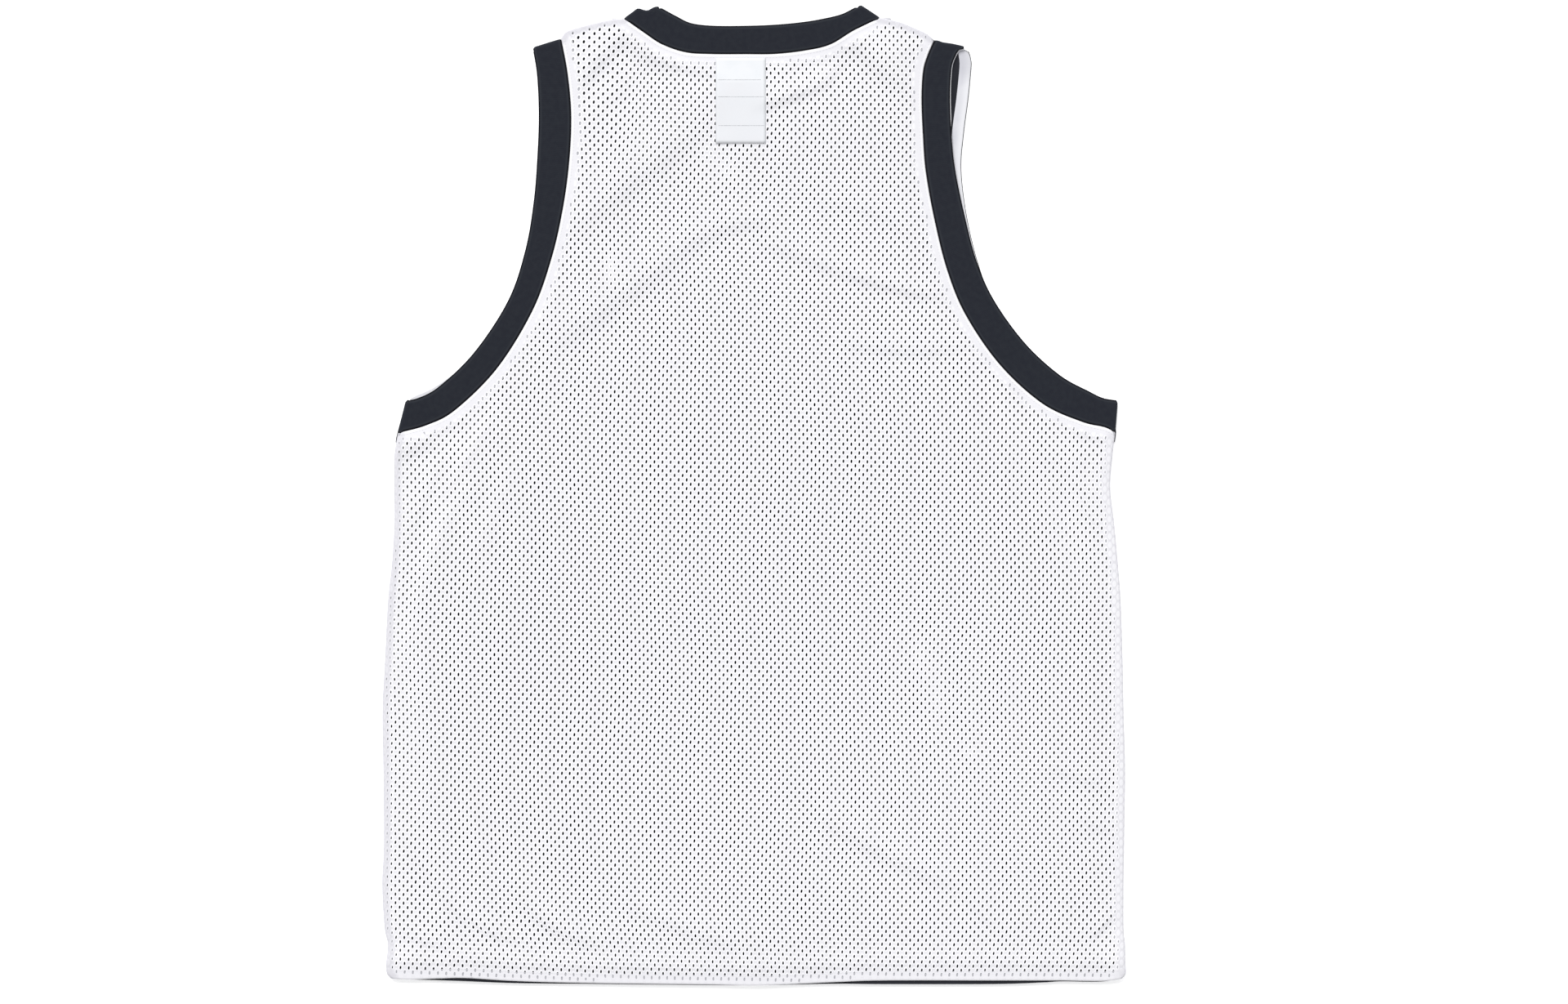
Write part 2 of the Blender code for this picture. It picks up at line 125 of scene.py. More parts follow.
# Neck over the back, from the left shoulder to the right one.
NECK_ROWS = (
    # seam_x, seam_y, free_x, free_y
    (-109, 396.2, -80, 406.3),
    (-93, 385, -77.7, 404.9),
    (-76.8, 374.4, -64.9, 397.9),
    (-57.3, 367.8, -52.9, 392.3),
    (-36.7, 366.4, -35.4, 390.1),
    (-8.2, 366.3, -8.2, 390),
    (17.7, 366.5, 16.3, 390.9),
    (42.2, 369.3, 38.1, 392.9),
    (63, 374.3, 54.8, 395.5),
    (82.6, 386, 73.2, 400),
    (104.7, 396.8, 87.7, 408),
)
FRONT_SEAM_DEPTH = 129.0  # how deep the front neck dips, at the band's seam
FRONT_FREE_DEPTH = 114.0  # and at its free edge
MID_PLANE = 2.45  # height at which the garment's two halves meet
SEAM_ROOM = 0.15  # how far a panel and its band stay clear of their seam line
EDGE_STEP = 2.6  # spacing of the points along an edge
EDGE_INSETS = (0.3, 0.9, 1.7)  # how far in the lines of points run that let it roll

# Knit: eyelets stand at the corners and in the middle of each cell.
CELL_WIDTH = 6.65
CELL_HEIGHT = 7.2
# Half of an eyelet's outline; the other half is the same, turned round.
EYELET_RING = ((0.38, 1.42), (-0.38, 1.42), (-0.75, 0.62), (-0.75, -0.62))
EYELET_UNEVEN = 0.012  # how unevenly wide and tall the eyelets are
EYELET_LEAN = (0.10, 0.04)  # how far eyelets lean to the right, and how unevenly
EYELET_JITTER = 0.035  # how far they stray from their places
CREST_SHUT = 0.07  # how far shut an eyelet is on a crease's crest
FACE_OPEN = 0.05  # how far it opens on the crease's face
RIDGE_SHUT = 0.22  # how far shut it is for each millimetre of a ridge
HEM_SHUT = (0.12, 21, 9)  # how far shut above the hem, how high above, over what stretch
# Spots where the knit is drawn a little shut, or open where the share is below nought.
PALE_SPOTS = (
    # x, y, half_width, half_height, share
    (-119.7, 188.4, 4, 11, 0.50),
    (-36, 284, 9, 9, 0.30),
    (-22, 270, 9, 8, 0.22),
    (62, 352, 9, 6, 0.25),
    (-175, -160, 60, 220, -0.02),
    (190, -260, 110, 120, 0.04),
    (179.7, -215, 6, 4, 0.30),
    (153.7, -172, 3, 14, 0.15),
    (138, -138, 5, 12, 0.12),
    (280, 10, 8, 14, 0.08),
)
EYELET_MARGINS = {
    # least distance of an eyelet's middle from each edge
    "left side": 2.3, "right side": 5.2, "shoulder": 2.6, "arm": 6.3, "neck": 7.0, "hem": 2.8,
}
EDGE_CLOSINGS = (
    # edges, how far shut, where it starts, over what stretch
    (("shoulder",), 0.38, 7.0, 3.5),
    (("left side", "right side"), 0.42, 9.5, 4.5),
)
KNIT_DRIFTS = (
    # start_y, way, drift, centre_x, half_width: how the knit's columns splay by the hem and shoulders
    (-330, -1, 0.075, -170, 120),
    (-330, -1, -0.02, 240, 80),
    (250, 1, -0.05, -152, 14),
    (250, 1, 0.03, -108, 16),
)
FRONT_LEVEL = 0.2
FRONT_CALM = 40  # width along the edges in which the creases fade out

# Creases of the front, which its weight presses almost flat. A crease is a soft step in the cloth: it
# stands up to the left of the way the row runs, and drops to the right of it.
FRONT_CREASES = (
    # x1, y1, x2, y2, bow, drop, half_width, pull
    (150, 150, 40, 214, 3, 0.50, 7, 0.4),
    (-20, 190, -150, 140, -3, 0.45, 7, 0.4),
    (-60, 90, -190, 60, 4, 0.35, 6, 0.3),
    (246, 60, 285, -30, 3, 0.50, 6, 0.6),
    (-240, 40, -286, -60, -4, 0.45, 6, 0.6),
    (296, -150, 300, -260, 2, 0.35, 7, 0.3),
    (286, -300, 190, -372, 9, 0.50, 6, 0.8),
    (210, -330, 110, -374, 6, 0.45, 6, 0.7),
    (-90, -290, -180, -334, 3, 0.45, 8, 0.4),
    (-282, -366, -304, -344, 0, 0.50, 5, 0.7),
    (60, -40, 110, -180, 6, 0.30, 9, 0.3),
)
CREASE_CREST = 0.45  # how much of a crease's drop stands above the cloth around it
CREASE_SPREAD = 3.2  # how far its crest and hollow fade out, in half widths


def smooth_line(rows, spacing):
    """Evenly spaced rows on a smooth curve through the given rows, by the path of x and y."""
    rows = np.array(rows, dtype=float)
    p = np.vstack((2 * rows[:1] - rows[1:2], rows, 2 * rows[-1:] - rows[-2:-1]))
    t = np.linspace(0, 1, 14, endpoint=False)[:, None]
    spans = []
    for a, b, c, d in zip(p, p[1:], p[2:], p[3:]):
        square = (2 * a - 5 * b + 4 * c - d) * t ** 2
        cube = (3 * b - a - 3 * c + d) * t ** 3
        spans.append(0.5 * (2 * b + (c - a) * t + square + cube))
    line = np.vstack(spans + [rows[-1:]])
    pace = np.linalg.norm(np.diff(line[:, :2], axis=0), axis=1)
    run = np.concatenate(([0.0], np.cumsum(pace)))
    stops = np.linspace(0, run[-1], max(round(run[-1] / spacing), 2) + 1)
    return np.column_stack([np.interp(stops, run, column) for column in line.T])


def unit(vectors):
    """Each row scaled to length one."""
    return vectors / np.linalg.norm(vectors, axis=-1, keepdims=True)


def arm_lines(rows, is_front, spacing=EDGE_STEP):
    """Seam line and free edge of one half of an arm band, from the shoulder to the underarm."""
    table = smooth_line(rows, spacing)
    seam, free, shift = table[:, :2], table[:, 2:4], table[:, 4:]
    moved = unit(free - seam) * shift * is_front
    return seam + moved, free + moved


def neck_lines(is_front, spacing=EDGE_STEP):
    """Seam line and free edge of one half of the neck band, from left to right."""
    table = smooth_line(NECK_ROWS, spacing)
    seam, free = table[:, :2], table[:, 2:4]
    if not is_front:
        return seam, free
    angle = np.linspace(0, pi, len(seam))[:, None]
    share = (1 - np.cos(angle)) / 2
    drop = np.hstack((0 * angle, np.sin(angle)))
    deep_seam = seam[0] + (seam[-1] - seam[0]) * share - drop * FRONT_SEAM_DEPTH
    deep_free = free[0] + (free[-1] - free[0]) * share - drop * FRONT_FREE_DEPTH
    return deep_seam, deep_free


def panel_edges(is_front, hem_reach=0.0, arm_inset=None, side_inset=0.0):
    """The edges of a panel in turn round its outline, from the left hem corner, as name and line.

    The armhole edge is at the band's seam, or arm_inset inside the band's free edge.
    """
    seam, free = neck_lines(is_front)
    neck = seam - unit(free - seam) * SEAM_ROOM
    if side_inset:
        neck = neck[1:-1]
    arms, sides, shoulders = [], [], []
    for column, arm_rows, shoulder_rows, end in ((1, ARM_ROWS_LEFT, SHOULDER_LEFT, 0),
                                                 (2, ARM_ROWS_RIGHT, SHOULDER_RIGHT, -1)):
        seam, free = arm_lines(arm_rows, is_front)
        across = unit(free - seam)
        arms.append(seam - across * SEAM_ROOM if arm_inset is None else free - across * arm_inset)
        side = smooth_line([(row[column], row[0]) for row in SIDE_ROWS] + [arm_rows[-1][:2]], EDGE_STEP)
        at_underarm = ease((side[:, 1] - 39) / 5)
        side[:, 0] -= np.sign(side[:, 0]) * side_inset * (1 - 1.25 * at_underarm)
        sides.append(side)
        shoulder = smooth_line([arm_rows[0][:2], *shoulder_rows, NECK_ROWS[end][:2]], EDGE_STEP)
        shoulders.append(shoulder - (0.0, side_inset))
    hem = smooth_line(HEM_ROWS, EDGE_STEP)
    hem[:, 1] -= hem[:, 2] * hem_reach
    return [
        ("left side", sides[0]),
        ("arm", arms[0][::-1]),
        ("shoulder", shoulders[0]),
        ("neck", neck),
        ("shoulder", shoulders[1][::-1]),
        ("arm", arms[1]),
        ("right side", sides[1][::-1]),
        ("hem", hem[::-1, :2]),
    ]


def outline_of(edges):
    """One closed loop of plan points from a panel's edges."""
    return np.vstack([line[:-1] for _, line in edges])


def distance_to(points, line):
    """Shortest distance of each plan point to a line of straight stretches."""
    nearest = np.full(len(points), np.inf)
    for start, end in zip(line, line[1:]):
        step = end - start
        share = np.clip((points - start) @ step / (step @ step), 0, 1)
        away = points - start - share[:, None] * step
        nearest = np.minimum(nearest, np.einsum("ij,ij->i", away, away))
    return np.sqrt(nearest)


def rim_gap(points, outline):
    """Distance from each plan point to a closed outline, taken in coarse steps."""
    return distance_to(points, np.vstack((outline[::3], outline[:1])))


def is_inside(points, loop):
    """Whether each plan point is inside a closed loop, by counting the edges to its right."""
    count = np.zeros(len(points), dtype=int)
    for (x1, y1), (x2, y2) in zip(loop, np.roll(loop, -1, axis=0)):
        crosses = (y1 > points[:, 1]) != (y2 > points[:, 1])
        if y1 != y2:
            at_x = x1 + (points[:, 1] - y1) * (x2 - x1) / (y2 - y1)
            count += crosses & (points[:, 0] < at_x)
    return count % 2 == 1


def ease(share):
    """Smooth step from nought to one."""
    share = np.clip(share, 0, 1)
    return share * share * (3 - 2 * share)


def crease_frame(points, row):
    """Place of each point beside one crease: how far off its line, and its fade towards the ends."""
    start, end, bow = np.array(row[0:2]), np.array(row[2:4]), row[4]
    along = (end - start) / np.linalg.norm(end - start)
    normal = np.array((-along[1], along[0]))
    share = (points - start) @ along / np.linalg.norm(end - start)
    inner = np.clip(share, 0, 1)
    off = (points - start) @ normal - bow * 4 * inner * (1 - inner)
    beyond = np.abs(share - inner) * np.linalg.norm(end - start)
    fade = np.sqrt(np.clip(np.sin(pi * np.clip(share, 0.02, 0.98)), 0, 1))
    return off, normal, fade * np.exp(-(beyond / row[6]) ** 2)


def crease_height(points, creases):
    """How far the creases raise or sink each point of the cloth."""
    raised = np.zeros(len(points))
    for row in creases:
        off, _, fade = crease_frame(points, row)
        drop, half = row[5], row[6]
        spread = half * CREASE_SPREAD
        face = CREASE_CREST - 0.5 + 0.5 * np.sin(pi / 2 * np.clip(off / half, -1, 1))
        crest = CREASE_CREST * np.exp(-((off - half) / spread) ** 2)
        hollow = (CREASE_CREST - 1) * np.exp(-((off + half) / spread) ** 2)
        raised += drop * fade * np.where(off > half, crest, np.where(off < -half, hollow, face))
    return raised


def ridge_height(points, ridges):
    """How far the soft ridges raise each point of the cloth."""
    raised = np.zeros(len(points))
    for row in ridges:
        off, _, fade = crease_frame(points, row)
        raised += row[5] * fade * np.exp(-(off / row[6]) ** 2)
    return raised


def crease_pull(points, creases):
    """How far the creases draw each point of the cloth in towards their lines."""
    moved = np.zeros_like(points)
    for row in creases:
        off, normal, fade = crease_frame(points, row)
        size = row[7] * fade * (off / row[6]) * np.exp(-(off / row[6]) ** 2)
        moved -= size[:, None] * normal
    return moved


def knit_lean(cloth):
    """How far the rows and columns of the knit wander from straight, in the laid garment."""
    x, y = cloth[:, 0], cloth[:, 1]
    columns = 0.5 * np.sin(y / 41 + x / 67) + 0.35 * np.sin(y / 23 - x / 90 + 1.0)
    for start, way, drift, centre, half in KNIT_DRIFTS:
        beyond = way * (y - start)
        columns += drift * ease(beyond / 60) * beyond * np.exp(-((x - centre) / half) ** 2)
    # The rows slope down to the right, by a little over one degree in the middle.
    rows = -radians(1) * (1.25 * x - 0.0023 * x ** 2 + 0.0000012 * x ** 3)
    rows += 0.4 * np.sin(x / 37 + y / 71 + 0.6) + 0.0003 * np.abs(y) ** 1.5 * np.sign(-y)
    return np.column_stack((columns, rows))


def lay_cloth(cloth, creases):
    """Plan points of the laid garment from points of the flat knit."""
    leaned = cloth + knit_lean(cloth)
    return leaned + crease_pull(leaned, creases)


def flat_cloth(plan, creases):
    """Points of the flat knit that come to lie at these plan points."""
    leaned = plan.copy()
    for _ in range(5):
        leaned = plan - crease_pull(leaned, creases)
    cloth = leaned.copy()
    for _ in range(5):
        cloth = leaned - knit_lean(cloth)
    return cloth


def inner_lines(outline, insets):
    """Points on lines that run inside a closed outline at set distances from it."""
    along = unit(np.roll(outline, -1, axis=0) - np.roll(outline, 1, axis=0))
    area = np.sum(outline[:, 0] * np.roll(outline[:, 1], -1) - np.roll(outline[:, 0], -1) * outline[:, 1])
    inward = np.column_stack((-along[:, 1], along[:, 0])) * np.sign(area)
    closed = np.vstack((outline, outline[:1]))
    found = []
    for inset in insets:
        line = outline + inward * inset
        keep = distance_to(line, closed) > 0.93 * inset
        found.append(line[keep])
    return np.vstack(found)


def gap_to(points, edges, kinds):
    """Distance from each plan point to the nearest of a panel's edges of these kinds."""
    gaps = [distance_to(points, line[::2]) for kind, line in edges if kind in kinds]
    return np.min(gaps, axis=0)


def eyelet_opening(points, edges, creases, ridges):
    """How open the eyelets are: they close on crests and ridges, near the edges and in odd spots."""
    x, y = points[:, 0], points[:, 1]
    closed = np.zeros(len(points))
    for spot_x, spot_y, width, height, share in PALE_SPOTS:
        away = np.linalg.norm((points - (spot_x, spot_y)) / (width, height), axis=1)
        closed += share * np.exp(-away ** 2)
    for row in creases:
        off, _, fade = crease_frame(points, row)
        sharp = min(row[5], 1.5) * fade
        closed += CREST_SHUT * sharp * np.exp(-((off - 2.2 * row[6]) / row[6] / 1.5) ** 2)
        closed -= FACE_OPEN * sharp * np.exp(-(off / row[6]) ** 2)
    closed += RIDGE_SHUT * ridge_height(points, ridges)
    for kinds, shut, start, stretch in EDGE_CLOSINGS:
        gap = gap_to(points, edges, kinds)
        closed += shut * ease((start - gap) / stretch)
    turning = 26 + np.where(x < 0, 58, 34) * ease((y + 100) / 160)
    closed += 0.07 * ease((turning - gap) / 14) * (0.75 + 0.25 * np.sin(gap / 4.5))
    shut, height, stretch = HEM_SHUT
    closed += shut * np.exp(-((gap_to(points, edges, ("hem",)) - height) / stretch) ** 2)
    return 1 - np.clip(closed, -0.1, 0.62)


def ring_links(count, first=0):
    """The edges of one closed ring of points."""
    return [(first + k, first + (k + 1) % count) for k in range(count)]


def fill_plan(plan, links):
    """Triangles over plan points that keep the linked edges, by the points' own numbers."""
    filled = delaunay_2d_cdt([Vector(point) for point in plan], links, [], 0, 0.0001)
    origin = np.array([sources[0] if sources else -1 for sources in filled[3]])
    faces = origin[np.array([tuple(face) for face in filled[2]])]
    return faces[(faces >= 0).all(axis=1)]


def cut_panel(edges, creases, ridges, seed):
    """Plan points, flat-knit points and triangles of a panel with its eyelets cut out."""
    chance = np.random.default_rng(seed)
    cell = np.array((CELL_WIDTH, CELL_HEIGHT))
    outline = outline_of(edges)
    flat_outline = flat_cloth(outline, creases)
    low = np.floor(flat_outline.min(axis=0) / cell) - 1
    high = np.ceil(flat_outline.max(axis=0) / cell) + 1
    columns, rows = np.meshgrid(np.arange(low[0], high[0]), np.arange(low[1], high[1]))
    corners = np.column_stack((columns.ravel(), rows.ravel()))
    centres = np.vstack((corners, corners + 0.5)) * cell
    laid = lay_cloth(centres, creases)
    keep = is_inside(laid, outline)
    centres, laid = centres[keep], laid[keep]
    keep = np.ones(len(laid), dtype=bool)
    wander = 0.9 * np.sin(laid[:, 0] / 9 + laid[:, 1] / 7)
    for kind, margin in EYELET_MARGINS.items():
        keep &= gap_to(laid, edges, (kind,)) > margin + wander * (margin > 5)
    centres, laid = centres[keep], laid[keep]
    ring = np.array(EYELET_RING)
    ring = np.vstack((ring, -ring))
    sizes = 1 + EYELET_UNEVEN * chance.normal(size=(len(centres), 1, 2))
    opening = eyelet_opening(laid, edges, creases, ridges)
    sizes[:, 0, 0] *= opening
    sizes[:, 0, 1] *= 0.4 + 0.6 * opening
    shape = ring[None] * sizes
    lean, uneven = EYELET_LEAN
    shape[:, :, 0] += shape[:, :, 1] * (lean + uneven * chance.normal(size=(len(centres), 1)))
    centres = centres + EYELET_JITTER * chance.normal(size=centres.shape)
    eyelets = (centres[:, None, :] + shape).reshape(-1, 2)
    inner = inner_lines(outline, EDGE_INSETS)
    plan = np.vstack((outline, inner, lay_cloth(eyelets, creases)))
    knit = np.vstack((flat_outline, flat_cloth(inner, creases), eyelets))
    first = len(outline) + len(inner)
    links = ring_links(len(outline))
    for start in range(first, len(plan), len(ring)):
        links += ring_links(len(ring), start)
    faces = fill_plan(plan, links)
    eyelet_of = np.where(faces >= first, (faces - first) // len(ring), -1)
    is_hole = (eyelet_of[:, 0] >= 0) & (eyelet_of == eyelet_of[:, :1]).all(axis=1)
    faces = faces[~is_hole]
    at_edge = (faces < first).all(axis=1)
    inside = np.ones(len(faces), dtype=bool)
    inside[at_edge] = is_inside(plan[faces[at_edge]].mean(axis=1), outline)
    return plan, knit, faces[inside]


ROLLS = {
    # width in which the edge rolls, and how far it sinks: None is down to the middle of the garment
    "left side": (2.4, None),
    "right side": (2.4, None),
    "shoulder": (1.4, None),
    "arm": (1.5, 0.8),
    "neck": (1.5, 0.8),
    "hem": (1.1, 0.8),
}
ROLL_REACH = 6  # wider than any roll, so that only points near the outline are worked out


def edge_roll(plan, edges, level, heights):
    """The heights with each edge of the panel rolled over towards the middle of the garment."""
    near = rim_gap(plan, outline_of(edges)) < ROLL_REACH
    towards = np.sign(MID_PLANE - level)
    rolled = heights.copy()
    for kind, line in edges:
        width, depth = ROLLS[kind]
        share = np.clip(1 - distance_to(plan[near], line) / width, 0, 1)
        fall = MID_PLANE - towards * 0.1 - heights[near] if depth is None else towards * depth
        target = heights[near] + fall * (1 - np.sqrt(1 - share ** 2))
        rolled[near] = (np.minimum if towards < 0 else np.maximum)(rolled[near], target)
    return rolled


def add_piece(name, points, faces, material, corner_maps=None):
    """Smooth-shaded object from points in millimetres, with maps that place each face's corners."""
    mesh = bpy.data.meshes.new(name)
    mesh.from_pydata((np.array(points) * MM).tolist(), [], faces)
    for map_name, places in (corner_maps or {}).items():
        layer = mesh.uv_layers.new(name=map_name)
        layer.data.foreach_set("uv", np.array(places, dtype=np.float32).ravel())
    mesh.shade_smooth()
    mesh.materials.append(material)
    piece = bpy.data.objects.new(name, mesh)
    bpy.context.scene.collection.objects.link(piece)
    return piece


def make_cloth(name, plan, heights, faces, material, maps=None, faces_up=True):
    """A sheet of cloth over plan points, with its faces all turned up or down."""
    faces = np.array(faces)
    side_a = plan[faces[:, 1]] - plan[faces[:, 0]]
    side_b = plan[faces[:, 2]] - plan[faces[:, 0]]
    turned = (side_a[:, 0] * side_b[:, 1] - side_a[:, 1] * side_b[:, 0] > 0) != faces_up
    faces[turned] = faces[turned][:, ::-1]
    corner_maps = {map_name: places[faces.ravel()] for map_name, places in (maps or {}).items()}
    return add_piece(name, np.column_stack((plan, heights)), faces.tolist(), material, corner_maps)


class Signal:
    """A value in a material's nodes. Sums, differences and products of it are Math nodes."""

    def __init__(self, socket):
        self.socket = socket
        self.tree = socket.id_data

    def math(self, operation, *others):
        """The value put through one Math node."""
        return put(self.tree, "ShaderNodeMath", self, *others, operation=operation)

    def __add__(self, other):
        return self.math("ADD", other)

    def __sub__(self, other):
        return self.math("SUBTRACT", other)

    def __mul__(self, other):
        return self.math("MULTIPLY", other)

    def between(self, low, high):
        """Share of the way that the value has gone from low to high, eased at both ends."""
        return put(self.tree, "ShaderNodeMapRange", self, low, high, interpolation_type="SMOOTHSTEP")

    def mix(self, low, high):
        """Colour between two colours, with the value as the share of the second."""
        ends = [end if isinstance(end, Signal) else (*end, 1.0) for end in (low, high)]
        unused = [None] * 5
        return put(self.tree, "ShaderNodeMix", self, *unused, *ends, output=2, data_type="RGBA")

    def noise(self, scale, detail):
        """Soft noise over the value as a place."""
        return put(self.tree, "ShaderNodeTexNoise", self, None, scale, detail)

    def axes(self):
        """The first two axes of the value as a place."""
        return [put(self.tree, "ShaderNodeSeparateXYZ", self, output=axis) for axis in (0, 1)]


def put(tree, kind, *inputs, output=0, **settings):
    """Adds one shader node with its inputs in order, as numbers or signals; gives one output."""
    node = tree.nodes.new(kind)
    for key, value in settings.items():
        setattr(node, key, value)
    for socket, value in zip(node.inputs, inputs):
        if isinstance(value, Signal):
            tree.links.new(value.socket, socket)
        elif value is not None:
            socket.default_value = value
    return Signal(node.outputs[output])


def map_place(tree, name):
    """Place on one of the mesh's own maps."""
    return put(tree, "ShaderNodeUVMap", uv_map=name)


def body_place(tree):
    """Place in the object's own coordinates."""
    return put(tree, "ShaderNodeTexCoord", output="Object")


def make_material(name, look, roughness, sheen, specular, depth_mm=0.0, strength=0.0):
    """A cloth material: constants on the shader, and a look that gives its colour and bump height."""
    material = bpy.data.materials.new(name)
    material.use_nodes = True
    tree = material.node_tree
    shader = tree.nodes["Principled BSDF"]
    shader.inputs["Roughness"].default_value = roughness
    shader.inputs["Sheen Weight"].default_value = sheen
    shader.inputs["Sheen Roughness"].default_value = 0.5
    shader.inputs["Specular IOR Level"].default_value = specular
    colour, height = look(tree)
    tree.links.new(colour.socket, shader.inputs["Base Color"])
    if height is not None:
        bump = tree.nodes.new("ShaderNodeBump")
        bump.inputs["Strength"].default_value = strength
        bump.inputs["Distance"].default_value = depth_mm * MM
        tree.links.new(height.socket, bump.inputs["Height"])
        tree.links.new(bump.outputs["Normal"], shader.inputs["Normal"])
    return material


RIM_HALF = (1.55, 2.35)  # half size of the bright rim round an eyelet
# Painted shade along the mesh's folded edges: grey strips at the left side, right side and shoulders, darker
# on the outermost rolled rim.
PAINTED_EDGE_SHADES = (
    # map and axis of the edge, reach in decimetres, share in the strip, share at the rim
    ("fold", 0, 0.038, 0.66, 0.32),
    ("fold", 1, 0.050, 0.26, 0.32),
    ("top", 0, 0.030, 0.78, 0.22),
)


def rim_distance(across, up, offset):
    """Distance from the nearest eyelet of one of the two sets, in the oval measure of its rim."""
    x = ((across + (0.5 + offset)).math("FRACT") - 0.5) * (CELL_WIDTH / RIM_HALF[0])
    y = ((up + (0.5 + offset)).math("FRACT") - 0.5) * (CELL_HEIGHT / RIM_HALF[1])
    return (x * x + y * y).math("SQRT")


def mesh_knit_look(tree):
    """White mesh knit: a raised rim round each eyelet, left bright, with painted shade in the valleys
    between, fine loops.

    It has painted shade along its folded side and shoulder edges and in a faint groove beside the neck
    stitching. It is also greyer in a strip beside the arm and neck seams and over the hem turning.
    """
    place = map_place(tree, "cloth")
    across, up = place.axes()
    from_seam, from_hem = map_place(tree, "seam").axes()
    from_neck = map_place(tree, "top").axes()[1]
    nearest = rim_distance(across, up, 0.0).math("MINIMUM", rim_distance(across, up, 0.5))
    seam_strip_grey = from_seam.between(0.012, 0.026) * 0.80
    in_field = from_seam.between(0.05, 0.08)
    turned_up = from_hem.between(0.095, 0.07) * 0.80
    valley = (nearest.between(0.92, 1.36) - seam_strip_grey) * in_field + seam_strip_grey
    valley = valley.math("MAXIMUM", turned_up)
    # Painted shade: a faint groove beside the neck stitching, then grey strips along the side and shoulder
    # edges, darkest on their rolled rims.
    folded = (from_neck.between(0.016, 0.026) - from_neck.between(0.034, 0.046)) * 0.22
    for name, axis, reach, share, rim in PAINTED_EDGE_SHADES:
        gap = map_place(tree, name).axes()[axis]
        shade = gap.between(reach + 0.04, reach) * share + gap.between(0.020, 0.008) * rim
        folded = folded.math("MAXIMUM", shade)
    sway = (up * (2 * pi * 9)).math("SINE") * 0.9
    loops = (across * (2 * pi * 8) + sway).math("SINE").math("ABSOLUTE")
    stretched = put(tree, "ShaderNodeMapping", place, None, None, (0.42, 0.035, 1.0))
    patch = (place.noise(0.35, 3.0) + stretched.noise(1.0, 3.0)) * 0.5
    colour = patch.between(0.4, 0.6).mix((0.872, 0.868, 0.888), (0.850, 0.844, 0.870))
    # Painted shade: grey mixed into the valleys between the eyelets; the same grey also covers the strip
    # beside the arm and neck seams and the hem turning.
    colour = valley.mix(colour, (0.725, 0.717, 0.750))
    # Mixes in the painted edge and groove shade.
    colour = folded.mix(colour, (0.60, 0.592, 0.632))
    return colour, loops * 0.18 - valley


mesh_knit = make_material("white mesh knit", mesh_knit_look, roughness=0.72, sheen=0.15, specular=0.25,
                          depth_mm=0.22, strength=0.5)


def knit_maps(plan, cloth, edges):
    """The knit's own coordinates in cells, and the distances from the panel's edges in decimetres."""
    maps = {"cloth": cloth / (CELL_WIDTH, CELL_HEIGHT)}
    for name, *axes in (("seam", ("arm", "neck"), ("hem",)), ("fold", ("left side",), ("right side",)),
                        ("top", ("shoulder",), ("neck",))):
        maps[name] = np.column_stack([gap_to(plan, edges, kinds) / 100 for kinds in axes])
    return maps


front_edges = panel_edges(True)
front_outline = outline_of(front_edges)


def front_surface(points):
    """Height of the front panel over plan points, edges not rolled."""
    calm = ease(rim_gap(points, front_outline) / FRONT_CALM)
    return FRONT_LEVEL + np.abs(crease_height(points, FRONT_CREASES)) * calm


plan, knit, faces = cut_panel(front_edges, FRONT_CREASES, (), 11)
heights = edge_roll(plan, front_edges, FRONT_LEVEL, front_surface(plan))
front_panel = make_cloth("front_panel", plan, heights, faces, mesh_knit,
                         knit_maps(plan, knit, front_edges), faces_up=False)
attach(front_panel, "root")
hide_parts("front_mesh")

# Inner cloth
# A closed near-black jersey knit lines both panels. It is cut like the mesh, runs on under the arm bands
# up to the white tape, and hangs a little below the mesh at the back hem.
LINING_STEP = 7.0
LINING_INSETS = (0.5, 1.6)
LINING_SHY = 2.4  # how far it stops short of the mesh at sides and shoulders
FRONT_LINING_LEVEL = 1.75
BACK_LINING_LEVEL = 3.1
LINING_FOLLOWS = 0.8  # share of the mesh's folds that the lining under it follows
TAPE_WIDTH = 10.0  # of the white tape that the lining runs up to
SWELL = 1.5
SWELL_CALM = 40.0  # width along the edges in which the swell fades out
CREASE_CALM = 13.0  # the same for creases

# Creases of the back, top to bottom, each run from left to right so that its crest is above it.
BACK_CREASES = (
    # x1, y1, x2, y2, bow, drop, half_width, pull
    (-148, 332, -106, 381, 1, 1.8, 7, 0.6),
    (-134, 308, -92, 356, 0, 0.7, 8, 0.4),
    (-122, 384, -66, 344, 0, 2.1, 10, 0.4),
    (62, 388, 122, 331, 2, 2.1, 9, 0.5),
    (2, 320, 60, 340, -1, 1.5, 5, 0.4),
    (54, 336, 80, 366, -1, 1.2, 6, 0.4),
    (-156, 210, -32, 310, 0, 1.25, 10, 0.9),
    (57, 240, 134, 206, 9, 0.7, 7, 0.3),
    (-168, 118, -50, 204, 0, 1.15, 9, 0.9),
    (-66, 198, 16, 225, 6, 1, 7, 0.5),
    (2, 209, 90, 175, 0, 0.9, 6, 0.6),
    (76, 182, 158, 162, -3, 1.2, 5, 0.7),
    (76, 124, 179, 121, -6, 0.8, 5, 0.4),
    (-296, -282, -252, -350, -1, 0.65, 5, 0.9),
    (-254, -346, -203, -374, -2, 0.55, 5, 0.8),
    (-202, -328, -125, -379, -11, 0.85, 6.5, 0.9),
    (-106, -345, -16, -379, -2.5, 0.85, 6.5, 0.8),
    (56, -273, 169, -331.5, -3, 0.95, 6.5, 0.8),
    (164, -329, 206, -368, 0, 0.4, 4.5, 0.6),
)
